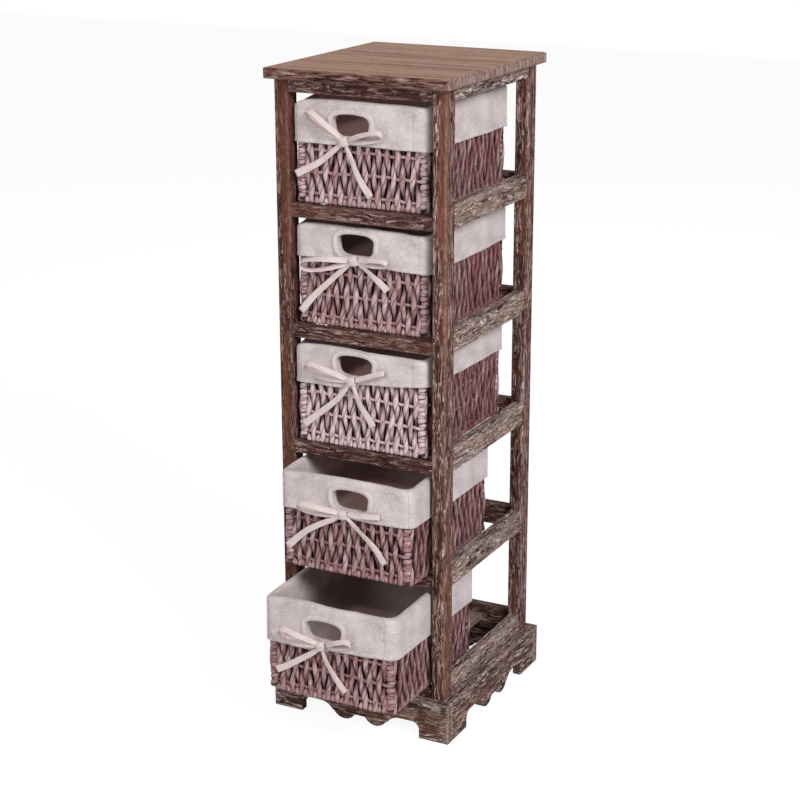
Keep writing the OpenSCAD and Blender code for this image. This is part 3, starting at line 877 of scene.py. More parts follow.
@dataclass(frozen=True)
class Studio:
    """A plain pale studio: a floor, soft light and a white background."""

    floor_size: float = 14.0
    sky: float = 0.18
    lights: tuple[Softbox, ...] = (
        Softbox("key_light", (2.9, -1.7, 2.5), 1.2, 106.0),
        Softbox("front_light", (-1.2, -3.0, 2.0), 1.5, 40.0),
        Softbox("rear_light", (-0.8, 2.6, 2.2), 1.8, 16.0),
    )

    def make(self) -> None:
        """Makes the world, the lights, the floor and the camera."""
        self.make_world()
        for light in self.lights:
            light.make()
        self.make_floor()
        Camera().make()
        bpy.context.scene.view_settings.view_transform = "Standard"

    def make_world(self) -> None:
        """A white background, with plain pale light from all round."""
        world = bpy.data.worlds.new("studio")
        bpy.context.scene.world = world
        world.use_nodes = True
        g = Graph(world.node_tree)
        g.tree.nodes.clear()
        path = g.node("ShaderNodeLightPath").outputs
        seen = g.math("MAXIMUM", path["Is Camera Ray"],
                      g.math("MAXIMUM", path["Is Glossy Ray"], path["Is Transmission Ray"]))
        light = g.node("ShaderNodeBackground", {"Color": (1, 1, 1, 1), "Strength": self.sky})
        white = g.node("ShaderNodeBackground", {"Color": (1, 1, 1, 1), "Strength": 1.0})
        both = g.node("ShaderNodeMixShader", {0: seen, 1: light.outputs[0], 2: white.outputs[0]})
        g.node("ShaderNodeOutputWorld", {0: both.outputs[0]})

    def make_floor(self) -> None:
        """A pale floor that keeps the rack's soft shadow."""
        bpy.ops.object.select_all(action="DESELECT")
        bpy.ops.mesh.primitive_plane_add(size=self.floor_size, location=(0, 0, 0))
        floor = bpy.context.object
        floor.name = "studio_floor"
        material, g, shader = start_material("studio_floor", 0.9)
        shader.inputs["Base Color"].default_value = (0.82, 0.82, 0.82, 1)
        path = g.node("ShaderNodeLightPath").outputs
        white = g.node("ShaderNodeEmission", {"Color": (1, 1, 1, 1), "Strength": 1.15})
        share = g.math("MULTIPLY", path["Is Camera Ray"], 0.8)
        both = g.node("ShaderNodeMixShader", {0: share, 1: shader.outputs[0], 2: white.outputs[0]})
        output = g.tree.nodes["Material Output"]
        g.tree.links.new(both.outputs[0], output.inputs["Surface"])
        floor.data.materials.append(material)


@dataclass
class Rack:
    """The wooden rack: its solids keep their shape and get their finish."""

    groups: Groups

    def finish_of(self, node: str) -> tuple[LimedWood, Axis]:
        """The wood of a board, and the way its grain runs."""
        if node == "top_board":
            return TOP_WOOD, Axis.X
        if node.startswith("post"):
            # The front left post takes the darker copy of the post wood, as painted shade.
            return SHADED_POST_WOOD if node == "post_front_left" else POST_WOOD, Axis.Z
        if node.startswith("plinth"):
            return PLINTH_WOOD, Axis.X if node.endswith(("front", "rear")) else Axis.Y
        if node.startswith("slats"):
            return SLAT_WOOD, Axis.Y
        across = node.startswith(("front", "rear")) or node.endswith(("front", "rear"))
        return (CROSS_WOOD, Axis.X) if across else (RAIL_WOOD, Axis.Y)

    def dress(self) -> None:
        """Gives every board and the screws their materials."""
        boards = [n for n in frame["record"]["behaviour"]["bodies"]["rack"] if n != "screws"]
        for seed, node in enumerate(boards):
            wood, axis = self.finish_of(node)
            paint(frame["nodes"][node], wood.on_board(node, axis, self.groups, seed + 1))
            LOG.info("dressed %s", node)
        paint(frame["nodes"]["screws"], PLATED_STEEL.make())
        LOG.info("dressed screws")


def paint(piece: bpy.types.Object, material: bpy.types.Material) -> None:
    """Gives a piece one material."""
    piece.data.materials.clear()
    piece.data.materials.append(material)


@dataclass(frozen=True)
class HandHole:
    """A basket's hand hole: a rounded shape, wider at its top, in millimetres.

    Attributes:
        x: Its centre, from the middle of the basket.
        z: Its centre, above the basket's foot.
        top: Width along its top.
        foot: Width along its foot.
        height: Its height.
        crown: How far its top arches up.
    """

    x: float
    z: float
    top: float = 58.0
    foot: float = 50.0
    height: float = 28.0
    crown: float = 2.5

    def outline(self, count: int, offset: float | np.ndarray = 0.0) -> np.ndarray:
        """count points round the hole, in x and z, from its right side anticlockwise.

        Args:
            count: How many points.
            offset: How far outside the hole's edge they lie.

        Returns:
            The points.
        """
        t = ring_angles(count)
        c, s = np.cos(t), np.sin(t)
        power = 0.52
        x, z = np.sign(c) * np.abs(c) ** power, np.sign(s) * np.abs(s) ** power
        width = self.foot + (self.top - self.foot) * (z + 1) / 2
        lift = np.where(z > 0, self.crown * (1 - x ** 2), 0)
        edge = np.stack([self.x + x * width / 2, self.z + z * self.height / 2 + lift], -1)
        ahead = unit(np.roll(edge, -1, 0) - np.roll(edge, 1, 0))
        return edge + np.stack([ahead[:, 1], -ahead[:, 0]], -1) * np.reshape(offset, (-1, 1))

    def away(self, x: np.ndarray, z: np.ndarray | float) -> np.ndarray:
        """How far points lie outside the hole's edge, negative inside it."""
        edge = self.outline(96)
        p = np.stack(np.broadcast_arrays(x, z), -1)[..., None, :] - edge
        near = np.linalg.norm(p, axis=-1)
        k = near.argmin(-1)
        normal = edge - np.array([self.x, self.z])
        inside = (np.take_along_axis(p, k[..., None, None], -2)[..., 0, :] * normal[k]).sum(-1) < 0
        return np.where(inside, -1.0, 1.0) * near.min(-1)


@dataclass
class BasketPlace:
    """Where a basket stands in the frame. Lengths are in millimetres.

    Attributes:
        number: 1 for the top basket, 5 for the lowest.
        hole: Its hand hole.
        wall: Outline of its weave's outer face.
        foot: Height of its foot above the floor.
        rim: Height of its weave above its foot.
        top: Height of its liner above its foot.
    """

    number: int
    hole: HandHole
    wall: Outline = field(init=False)
    foot: float = field(init=False)
    rim: float = field(init=False)
    top: float = field(init=False)

    def __post_init__(self) -> None:
        """Takes the basket's place and size from the frame."""
        low, high = (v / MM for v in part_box(f"basket_{self.number}_weave"))
        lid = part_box(f"basket_{self.number}_liner")[1].z / MM
        self.wall = Outline((low.x + high.x) / 2, low.y, high.x - low.x, high.y - low.y, 10.0)
        self.foot, self.rim, self.top = low.z, high.z - low.z, lid - low.z

    def lifted(self, plan: np.ndarray, z: np.ndarray | float) -> np.ndarray:
        """The points of a plan, at z above the basket's foot."""
        height = np.broadcast_to(self.foot + z, plan.shape[:-1])
        return np.concatenate([plan, height[..., None]], -1)

    def at(self, s: np.ndarray, out: np.ndarray | float, z: np.ndarray | float) -> np.ndarray:
        """Points at s round the wall, out from it and z above the basket's foot."""
        return self.lifted(self.wall.at(s, out)[0], z)

    def in_front(self, x: np.ndarray, out: np.ndarray | float, z: np.ndarray) -> np.ndarray:
        """Points in front of the wall, by x from the basket's middle, out from it and z."""
        return np.stack(np.broadcast_arrays(self.wall.x + x, self.wall.y - out, self.foot + z), -1)

    def hand_over(self, piece: bpy.types.Object, material: bpy.types.Material, part: str,
                  slot: str) -> bpy.types.Object:
        """Gives a finished piece its material and body, and hides the solid that it stands for."""
        paint(piece, material)
        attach(piece, f"basket_{self.number}")
        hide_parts(f"basket_{self.number}_{part}")
        LOG.info("made %s with %d faces", piece.name, len(piece.data.polygons))
        return piece


@dataclass
class Weave:
    """The woven wall and base of one basket, laid strand by strand. Lengths are in millimetres.

    Attributes:
        place: Where the basket stands.
        rope_pitch: Distance between two upright ropes.
        corners: How many corners a rope's section has.
        bend: Radius of the turn in under the basket, at a rope's foot.
        rope_side: Half the width of a rope.
        rope_deep: Half the thickness of a rope.
        rope_in: How far a rope's middle lies inside the wall's outer face.
        rope_swing: How far a rope swings out and in, over and under the cords.
        rope_swell: How much half its width grows where it swings out.
        lay_length: Length in which a rope's plies turn once.
        cord_rise: Height of the lowest level cord.
        cord_step: Distance between two level cords.
        cord_half: Half the thickness of a level cord.
        cord_lay: Length in which a cord's plies turn once.
        cord_in: How far a cord's middle lies inside the wall's outer face.
        cord_swing: How far a cord swings out and in, over and under the ropes.
        pale: How pale its fronts are, from 0 to 1.
        red: How red it is, from 0 to 1.
    """

    place: BasketPlace
    pale: float
    red: float
    rope_pitch: float = 7.0
    corners: int = 10
    bend: float = 3.4
    rope_side: float = 3.1
    rope_deep: float = 2.75
    rope_in: float = 4.6
    rope_swing: float = 1.5
    rope_swell: float = 0.95
    lay_length: float = 21.0
    cord_rise: float = 14.0
    cord_step: float = 29.0
    cord_half: float = 2.1
    cord_lay: float = 17.0
    cord_in: float = 4.4
    cord_swing: float = 1.8

    def ropes(self) -> list[tuple[float, int, bool]]:
        """Each upright rope of the four walls.

        Returns:
            Its place round the wall, 1 if it passes over the lowest cord or else -1, and whether
            it is in front.
        """
        wall = self.place.wall
        quarter = wall.front / 2 + wall.arc + wall.side / 2
        ends = 2 * round((wall.front - 12) / self.rope_pitch / 2)
        sides = 2 * round((wall.side - 8) / self.rope_pitch / 2)
        faces = ((0.0, ends), (quarter, sides), (wall.length / 2, ends),
                 (wall.length - quarter, sides))
        return [(middle + (j - (count - 1) / 2) * self.rope_pitch, 1 if j % 2 else -1, face == 0)
                for face, (middle, count) in enumerate(faces) for j in range(count)]

    def shade(self, side: float, rng: np.random.Generator) -> tuple[float, float]:
        """A strand's paleness and redness, from 0 to 1.

        Args:
            side: 1 on the side walls, which are darker and redder, and 0 in front and behind.
            rng: The random draws.

        Returns:
            The two values.
        """
        pale = self.pale * rng.uniform(0.5, 1.5) * (1 - 0.8 * side)
        pale += rng.uniform(0, 0.2 + 0.25 * side)
        red = max(self.red, (0.52 - 1.7 * self.red) * side) * rng.uniform(0.4, 1.5)
        red += rng.uniform(0.0, 0.1)
        return float(np.clip(pale, 0, 1)), float(np.clip(red, 0, 1))

    def lay_rope(self, parts: MeshParts, s: float, start: float, stop: float, over: int,
                 tuck: bool, rng: np.random.Generator) -> None:
        """Lays one upright rope of the wall.

        Args:
            parts: Where it is added.
            s: Its place round the wall.
            start: Its lowest height, or that of its tuck.
            stop: Its highest height.
            over: 1 if it passes over the lowest cord, else -1.
            tuck: Whether its foot turns in under the basket.
            rng: The random draws.
        """
        wall, low = self.place.wall, self.rope_deep + 0.25
        beside = abs(float(wall.at(np.array([s]), 0.0)[1][0, 0]))
        wave = rng.uniform(0, 2 * math.pi, 3)
        z = np.linspace(stop, start + (self.bend if tuck else 0), max(6, int((stop - start) / 2.7)))
        late = rng.normal(0, 1.8)
        phase = over * np.cos(math.pi * (z - self.cord_rise - late) / self.cord_step)
        foot = smooth((12 - z) / 8) * tuck
        phase = phase * (1 - foot) + 0.9 * foot
        half_w = self.rope_side - 0.4 * beside + (self.rope_swell - 0.75 * beside) * phase
        half_w = half_w * rng.uniform(0.88, 1.1) * (1 + 0.07 * np.sin(z / 4.3 + wave[2]))
        half_h = self.rope_deep + 0.35 * phase
        out = -self.rope_in + 0.4 * beside + (self.rope_swing - 0.9 * beside) * phase
        out = np.clip(out, half_h - 8.2, -half_h - 0.1)
        sway = rng.uniform(0.4, 1.2) + 0.7 * beside
        shift = s + sway * np.sin(z / rng.uniform(8, 15) + wave[0]) * (1 - foot)
        shift = shift + 0.75 * np.sin(z / 5.5 + wave[1]) * (1 - foot)
        line, normal = self.place.at(shift, out, z), wall.at(shift, out)[1]
        if tuck:
            ways = np.append(np.linspace(0, math.pi / 2, 6)[1:], [math.pi / 2] * 2)
            deep = self.bend * (1 - np.cos(ways)) + np.append(np.zeros(5), [4.0, 8.0])
            height = self.place.foot + z[-1] - (z[-1] - low) * np.sin(ways)
            tail = line[-1, :2] - normal[-1] * deep[:, None]
            more = len(ways)
            line = np.vstack([line, np.hstack([tail, height[:, None]])])
            half_w = np.append(half_w, half_w[-1] * np.linspace(1, 0.86, more))
            half_h = np.append(half_h, np.full(more, self.rope_deep))
            phase = np.append(phase, np.full(more, phase[-1]))
            normal = np.vstack([normal, np.tile(normal[-1], (more, 1))])
        side = np.stack([-normal[:, 1], normal[:, 0], np.zeros(len(normal))], -1)
        turns = wave[0] + reach_along(line) * math.pi / (self.lay_length * rng.uniform(0.85, 1.2))
        strand = sweep(line, side, self.corners, half_w, half_h, turns)
        # Painted shade: the rope darkens where it lies back behind a cord and along its flanks,
        # more on the side walls.
        flank_shade = np.tile(np.abs(np.cos(ring_angles(self.corners))) ** 3, len(phase))
        unshaded = np.repeat((phase + 1) / 2, self.corners) * 0.7 + 0.3
        unshaded = unshaded * (1 - (0.3 + 0.15 * beside) * flank_shade)
        pale, red = self.shade(beside if beside > 0.95 else 0.25 * beside, rng)
        parts.add_strand(strand, pale, unshaded, red, rng.integers(0, 90, 2) / 2)

    def lay_walls(self, parts: MeshParts, rng: np.random.Generator) -> None:
        """Lays the upright ropes of the four walls, parted at the hand hole."""
        hole, reach = self.place.hole, self.place.rim - 7.0
        below, above = hole.z - hole.height / 2 - 3, hole.z + hole.height / 2 + 5
        for s, over, in_front in self.ropes():
            parted = in_front and abs(s - hole.x) < hole.top / 2 + 4
            self.lay_rope(parts, s, 0.0, below if parted else reach, over, True, rng)
            if parted and reach - above > 4:
                self.lay_rope(parts, s, above, reach, over, False, rng)
        bends = self.place.wall.marks()
        for k, share in ((1, 0.7), (3, 0.3), (5, 0.7), (7, 0.3)):
            s = bends[k] + (bends[k + 1] - bends[k]) * share
            self.lay_rope(parts, s, 0.0, reach, 1 if k % 4 == 1 else -1, True, rng)

    def lay_cords(self, parts: MeshParts) -> None:
        """Lays the level cords, which pass in front of every second rope."""
        hole, wall, corners = self.place.hole, self.place.wall, 7
        marks, waves = np.array(sorted((s, over) for s, over, _ in self.ropes())).T
        gap = hole.top / 2 + 5
        for level, z in enumerate(np.arange(self.cord_rise, self.place.rim - 3, self.cord_step)):
            parted = abs(z - hole.z) < hole.height / 2 + 4
            first, last = (hole.x + gap, hole.x - gap) if parted else (0.0, 0.0)
            s = np.arange(first, wall.length + last, 2.6)
            wave = np.interp(np.mod(s - marks[0], wall.length) + marks[0], marks, waves)
            swap = 1.0 if level % 2 == 0 else -1.0
            beside = np.abs(wall.at(s, 0.0)[1][:, 0])
            swing = (self.cord_swing - 0.7 * beside) * swap * np.sin(wave * math.pi / 2)
            out = -self.cord_in - 1.1 * beside - swing
            uneven = 0.9 * np.sin(s / 23 + level) + 0.6 * np.sin(s / 6.1 + 2 * level)
            strand = sweep(self.place.at(s, out, z + uneven), UP, corners, self.cord_half,
                           self.cord_half, s * 2 * math.pi / self.cord_lay, 0.1,
                           closed=not parted)
            # Painted shade on the cords: less on paler baskets, more on the side walls.
            unshaded = np.repeat(0.55 + 0.35 * self.pale - 0.3 * beside, corners)
            parts.add_strand(strand, self.pale, unshaded, self.red, (0, 3 * level))

    def lay_corners(self, parts: MeshParts, rng: np.random.Generator) -> None:
        """Winds a rope round each corner's upright wire."""
        wall = self.place.wall
        inset, aside, rise, radius = 6.9, 9.4, 8.4, 4.2
        rounds = (self.place.rim - 16) / rise
        t = np.linspace(0, rounds * 2 * math.pi, int(rounds * 14))
        height = self.place.foot + 4.2 + t / (2 * math.pi) * rise + 0.5 * np.sin(t * 0.23)
        for k, (sx, sy) in enumerate(((1, -1), (1, 1), (-1, 1), (-1, -1))):
            x = wall.x + sx * (wall.width / 2 - aside)
            y = wall.y + wall.depth / 2 + sy * (wall.depth / 2 - inset)
            wobble = radius * (0.98 + 0.05 * np.sin(t * 0.37 + k))
            line = np.stack([x + wobble * np.cos(t), y + wobble * np.sin(t), height], -1)
            strand = sweep(line, UP, self.corners, 3.9 + 0.4 * np.sin(t * 0.61 + k), 2.2,
                           t * radius * math.pi / self.cord_lay)
            pale, red = self.shade(0.1, rng)
            parts.add_strand(strand, pale, 0.95, red, (0, 7 * k))

    def lay_base(self, parts: MeshParts, rng: np.random.Generator) -> None:
        """Lays the base's ropes from front to back."""
        wall, corners = self.place.wall, 8
        y = np.linspace(11, wall.depth - 11, 44)
        count = 2 * round((wall.width - 16) / self.rope_pitch / 2)
        for j in range(count):
            phase = (1 if j % 2 else -1) * np.cos(math.pi * (y - 20) / self.cord_step)
            x = wall.x + (j - (count - 1) / 2) * self.rope_pitch + 0.5 * np.sin(y / 19 + j)
            line = np.stack([x, wall.y + y, self.place.foot + 3.25 - 0.35 * phase], -1)
            turns = rng.uniform(0, 6) + y * 2 * math.pi / self.lay_length
            strand = sweep(line, RIGHT, corners, 3.6 + 0.5 * phase, 2.4, turns)
            # Painted shade where the base ropes lie back between the others.
            unshaded = np.repeat((phase + 1) / 2, corners) * 0.6 + 0.4
            pale, red = self.shade(0.5, rng)
            parts.add_strand(strand, pale, unshaded, red, rng.integers(0, 90, 2) / 2)

    def lay_shade_backing(self, parts: MeshParts) -> None:
        """Lays a dark sheet behind the ropes, which fills the gaps between them with painted shade.
        """
        wall = self.place.wall
        s, z = np.arange(0, wall.length, 4.0), np.linspace(3.0, self.place.rim - 8, 26)
        grid_s, grid_z = np.meshgrid(s, z)
        out = -7.3 - 0.25 * np.sin(grid_s * math.pi / self.rope_pitch * 2)
        x = wall.signed(grid_s)
        away = np.where(np.abs(x) < wall.front / 2, self.place.hole.away(x, grid_z), 50.0)
        # Painted shade: the sheet's mark asks for the deep colour almost everywhere.
        parts.add_grid(self.place.at(grid_s, out, grid_z), s / 8, z, (0.1, 0.1, 0.2),
                       keep=away > 1.5)

    def make(self, cord: bpy.types.Material) -> bpy.types.Object:
        """Makes the whole weave, which stands for the basket's plain solid."""
        rng = np.random.default_rng(100 * self.place.number)
        parts = MeshParts()
        self.lay_walls(parts, rng)
        self.lay_cords(parts)
        self.lay_corners(parts, rng)
        self.lay_base(parts, rng)
        self.lay_shade_backing(parts)
        piece = parts.build(f"weave_{self.place.number}")
        return self.place.hand_over(piece, cord, "weave", "wicker")


@dataclass
class Liner:
    """A linen liner: a flap outside, a fold over the rim, and a bag inside, in millimetres.

    Attributes:
        place: Where the basket stands.
        edges: Height of the flap's lower edge in front at the left, in front at the right, behind
            at the right and behind at the left.
        rises: How far the rim rises, by x from the middle of the front.
        cloth: Thickness of the cloth.
        bag_gap: Distance of the bag inside the wall's outer face.
        fold_start: Height at which the fold over the rim starts.
        tape: Width of the tape round the hand hole.
        lie: How far the flap's middle stands off the wall where it lies flat.
        floor: Height of the bag's floor.
        hem: Width of the hem.
        step: Distance between two columns of its mesh.
        seam: How far the front right seam lies from the corner.
        painted_glow: Strength of the painted glow low in the bag, from 0 to 1.
    """

    place: BasketPlace
    edges: tuple[float, float, float, float]
    rises: tuple[tuple[float, float], ...]
    seam: float
    painted_glow: float
    cloth: float = 1.0
    bag_gap: float = 8.9
    fold_start: float = 130.5
    tape: float = 6.0
    lie: float = 1.15
    floor: float = 7.2
    hem: float = 6.0
    step: float = 3.2

    @property
    def corner(self) -> float:
        """Place of the front right corner round the wall."""
        return self.place.wall.front / 2 + self.place.wall.arc / 2

    def edge_height(self, s: np.ndarray) -> np.ndarray:
        """Height of the flap's lower edge round the basket."""
        length, half = self.place.wall.length, self.corner
        corners = [-half, half, length / 2 - half, length / 2 + half, length - half]
        left, right, back_right, back_left = self.edges
        height = np.interp(s, corners, [left, right, back_right, back_left, left])
        return height + 0.5 * np.sin(s / 27 + self.place.number) + 0.25 * np.sin(s / 11)

    def billow(self, s: np.ndarray, z: np.ndarray) -> np.ndarray:
        """How far the flap stands off the wall, with its soft waves, puckered seams and hem."""
        wall, seed = self.place.wall, 10 * self.place.number
        low = np.clip((self.fold_start - z) / 50, 0, 1)
        x = wall.signed(s)
        front = smooth((wall.front / 2 + 6 - np.abs(x)) / 12)
        calm = smooth(self.place.hole.away(x, z) / 25) * front + 1 - front
        soft = 0.5 + 0.5 * np.clip(ripple(s, z, seed, 7, 120, 24), -1, 1)
        fine = ripple(s, z, seed + 1, 8, 16, 6)
        out = self.lie + low * calm * soft * (0.6 + 1.3 * front) + 0.07 * fine * calm
        for corner in self.seams():
            far = np.abs(s - corner)
            far = np.minimum(far, wall.length - far)
            pucker = np.sin(z * 2 * math.pi / 7 + corner + 1.2 * np.sign(s - corner))
            pucker = pucker * np.exp(-((far - 1.6) / 3.2) ** 2) * (far > 0.1)
            out = out - 0.45 * np.exp(-(far / 1.3) ** 2) + 0.32 * pucker
        above = z - self.edge_height(s)
        return out + 0.3 * smooth((self.hem - above) / 1.2) - 0.25 * np.exp(
            -((above - self.hem) / 0.9) ** 2)

    def seams(self) -> list[float]:
        """Places of the four upright seams round the wall, near its corners."""
        half, middle = self.corner, self.place.wall.length / 2
        return [half - self.seam, middle - half + 4, middle + half - 4, 2 * middle - half + 4]

    def rim_rise(self, s: np.ndarray) -> np.ndarray:
        """How far the rim rises above its plain height."""
        places, heights = np.array(self.rises).T
        slack = ripple(s, 0 * s, 77 + self.place.number, 4, 110, 40)
        return np.interp(self.place.wall.signed(s), places, heights) + 0.5 * slack

    def rows(self, s: np.ndarray) -> tuple[np.ndarray, np.ndarray]:
        """The liner's rows of points, from the flap's edge up, over the rim, down and inwards.

        Args:
            s: Places round the wall, one for each column.

        Returns:
            The points, and each row's length along the cloth.
        """
        place, number = self.place, self.place.number
        wall, inner = place.wall, place.wall.inside(self.bag_gap, 13.5)
        matched = np.interp(s, wall.marks(), inner.marks())
        edge, rise = self.edge_height(s), self.rim_rise(s)
        flap, fold, bag, turn_in, base = 8.6, 52, 68, 184, 192
        rows = [(above, place.at(s, self.billow(s, edge + above), edge + above))
                for above in (0.0, 1.6, 3.6, 5.2, 6.0, 6.8, flap)]
        for share in np.linspace(0, 1, 16)[1:]:
            z = edge + flap + (self.fold_start - edge - flap) * share
            rows.append((flap + share * 43, place.at(s, self.billow(s, z), z + rise * share)))
        crown = place.top - self.cloth / 2 - self.fold_start - 0.3
        middle, reach = (self.lie - self.bag_gap) / 2, (self.lie + self.bag_gap) / 2
        for turn in np.linspace(0, math.pi, 12)[1:]:
            c, h = math.cos(turn), math.sin(turn)
            out = middle + reach * math.copysign(abs(c) ** 0.8, c)
            z = self.fold_start + crown * h ** 0.8 + rise
            share = smooth(np.array((1 - c) / 2))
            inside = place.lifted(inner.at(matched, out + self.bag_gap)[0], z)
            rows.append((fold + turn * 5, place.at(s, out, z) * (1 - share) + inside * share))
        for share in np.linspace(0, 1, 24)[1:]:
            z = self.fold_start + (self.floor + 5 - self.fold_start) * share
            slack = math.sin(math.pi * min(share * 1.15, 1)) ** 0.7
            folds = ripple(s, z, 5 + 10 * number, 8, 140, 26)
            calm = smooth(place.hole.away(wall.signed(s), z) / 14)
            plan, _ = inner.at(matched, -slack * np.maximum(0.3, 1.1 + 1.3 * folds) * calm)
            rows.append((bag + share * 116, place.lifted(plan, z + rise * (1 - share))))
        for turn in np.linspace(0, math.pi / 2, 5)[1:]:
            deep, _ = inner.at(matched, -5 * (1 - math.cos(turn)))
            z = self.floor + 5 - 5 * math.sin(turn)
            rows.append((turn_in + turn * 5, place.lifted(deep, z)))
        centre = np.array([wall.x, wall.y + wall.depth / 2])
        for share in np.linspace(1, 0.03, 13)[1:]:
            flat = centre + (deep - centre) * share
            lift = 0.35 * (1 + ripple(flat[:, 0], flat[:, 1], 9 + number, 6, 90, 30))
            rows.append((base + (1 - share) * 95, place.lifted(flat, self.floor + lift)))
        return np.array([points for _, points in rows]), np.array([length for length, _ in rows])

    def lay_cloth(self, parts: MeshParts) -> None:
        """Lays the flap, fold and bag as one sheet, with the hand hole cut through both walls."""
        wall, hole, inside = self.place.wall, self.place.hole, 60
        count = int(wall.length / self.step)
        near = np.concatenate([seam + np.linspace(-2.4, 2.4, 5) for seam in self.seams()])
        plain = np.arange(count) * wall.length / count
        plain = plain[np.abs(plain[:, None] - near[None, :]).min(-1) > 1.1]
        s = np.sort(np.concatenate([plain, near]))
        grid, length = self.rows(s)
        x, z = grid[..., 0] - wall.x, grid[..., 2] - self.place.foot
        front = (grid[..., 1] < wall.y + 20) & (z > 20)
        away = np.where(front, hole.away(x, z), 50.0)
        keep = away > -1.2
        way = np.stack([x - hole.x, 0 * x, z - hole.z], -1)
        grid = grid + unit(way) * (np.clip(2.6 - away, 0, 5) * keep * front)[..., None]
        line = 0.35 * (np.abs(length - self.hem) < 0.5)[:, None]
        seam = np.min([np.abs(s - c) for c in self.seams()], 0)[None, :] < 0.3
        stitch = np.where(np.arange(len(length)) % 2, 0.9, 0.3) * (length < 62)
        # Painted glow: below a height that drops from basket to basket, the bag glows by the share
        # given.
        bag, glow_top = (length > inside)[:, None], 105.0 - 13 * self.place.number
        # Marks: sewn lines, painted shade that deepens lower down the bag, and the painted glow.
        marks = np.stack([np.maximum(line, seam * stitch[:, None]), smooth((112 - z) / 30) * bag,
                          smooth((glow_top - z) / 12) * bag * self.painted_glow], -1).reshape(-1, 3)
        parts.add_grid(grid, np.append(s, wall.length), length, marks, keep=keep)
        count, total = len(s), len(marks)
        last, hub = total - count + np.arange(count), np.arange(0, count - 1, 2)
        cap = np.stack([last[hub], last[hub + 1], last[(hub + 2) % count],
                        np.full(len(hub), total)], -1)
        parts.add(grid[-1].mean(0, keepdims=True), cap - total, np.zeros((len(cap), 4, 2)),
                  np.zeros((1, 3)))

    def lay_binding(self, parts: MeshParts) -> None:
        """Lays the tape round the hand hole, with the sleeve that joins the flap to the bag."""
        count, back = 88, -self.bag_gap - 1.6
        profile = [(3.4, back + 0.2), (1.6, back - 0.6), (0.3, back + 0.2), (0.0, back + 2.5),
                   (0.2, -4.5), (0.1, -1.5), (-0.2, 0.8), (0.15, 2.3), (1.2, 3.0),
                   (self.tape * 0.55, 3.15), (self.tape * 0.85, 2.9), (self.tape, 2.1),
                   (self.tape + 0.3, 1.3)]
        wave = np.random.default_rng(31 * self.place.number).uniform(0, 6, 3)
        t = ring_angles(count)
        rough = 0.22 * np.sin(9 * t + wave[0]) + 0.16 * np.sin(17 * t + wave[1])
        rings = []
        for offset, out in profile:
            x, z = self.place.hole.outline(count, offset + rough * (1 if offset > 1 else 0.3)).T
            rings.append(self.place.in_front(x, out, z))
        parts.add_grid(np.array(rings), np.arange(count) * 1.9, np.arange(len(profile)) * 2.0,
                       flip=True)

    def make(self, linen: bpy.types.Material) -> bpy.types.Object:
        parts = MeshParts()
        self.lay_cloth(parts)
        self.lay_binding(parts)
        piece = parts.build(f"liner_{self.place.number}")
        thicken(piece, self.cloth)
        return self.place.hand_over(piece, linen, "liner", "linen")


@dataclass
class Wire:
    """The wire frame inside a basket's wall, whose rim loop dips where the liner's rim does.

    Attributes:
        place: Where the basket stands.
        liner: The liner that folds over its rim loop.
        reach: How far below its top the bend starts, in millimetres.
    """

    place: BasketPlace
    liner: Liner
    reach: float = 22.0

    def make(self, steel: bpy.types.Material) -> bpy.types.Object:
        """Bends a copy of the plain solid's wires, which stands for that solid."""
        mesh = frame["nodes"][f"basket_{self.place.number}_wire"].data.copy()
        verts = np.empty(len(mesh.vertices) * 3)
        mesh.vertices.foreach_get("co", verts)
        verts = verts.reshape(-1, 3) / MM
        s = np.linspace(0, self.place.wall.length, 480, endpoint=False)
        around = self.place.wall.at(s, -4.5)[0]
        near = np.linalg.norm(verts[:, None, :2] - around[None, :, :], axis=-1).argmin(-1)
        dip = np.minimum(self.liner.rim_rise(s[near]) - 0.9, 0)
        verts[:, 2] += dip * smooth((verts[:, 2] - verts[:, 2].max() + self.reach) / self.reach)
        mesh.vertices.foreach_set("co", (verts * MM).ravel())
        piece = add_object(f"wire_{self.place.number}", mesh)
        pick(piece)
        bpy.ops.object.mode_set(mode="EDIT")
        bpy.ops.mesh.select_all(action="SELECT")
        bpy.ops.mesh.remove_doubles(threshold=0.02 * MM)
        bpy.ops.object.mode_set(mode="OBJECT")
        bpy.ops.object.shade_smooth_by_angle(angle=math.radians(40))
        piece.select_set(False)
        return self.place.hand_over(piece, steel, "wire", "wire")


@dataclass(frozen=True)
class Loop:
    """A loop of a bow.

    Attributes:
        tip: Where it ends, from the knot, in millimetres to the right and up.
        open: Distance between its two layers, in millimetres.
        stand: How far its turn stands off the wall, in degrees: 90 shows the ribbon's edge.
    """

    tip: tuple[float, float]
    open: float
    stand: float


@dataclass(frozen=True)
class Tail:
    """A tail of a bow.

    Attributes:
        end: Where it ends, from the knot, in millimetres to the right and up.
        bow: How far it bends aside on its way, in millimetres.
        turn: How far it is turned about its length halfway, in degrees.
    """

    end: tuple[float, float]
    bow: float
    turn: float


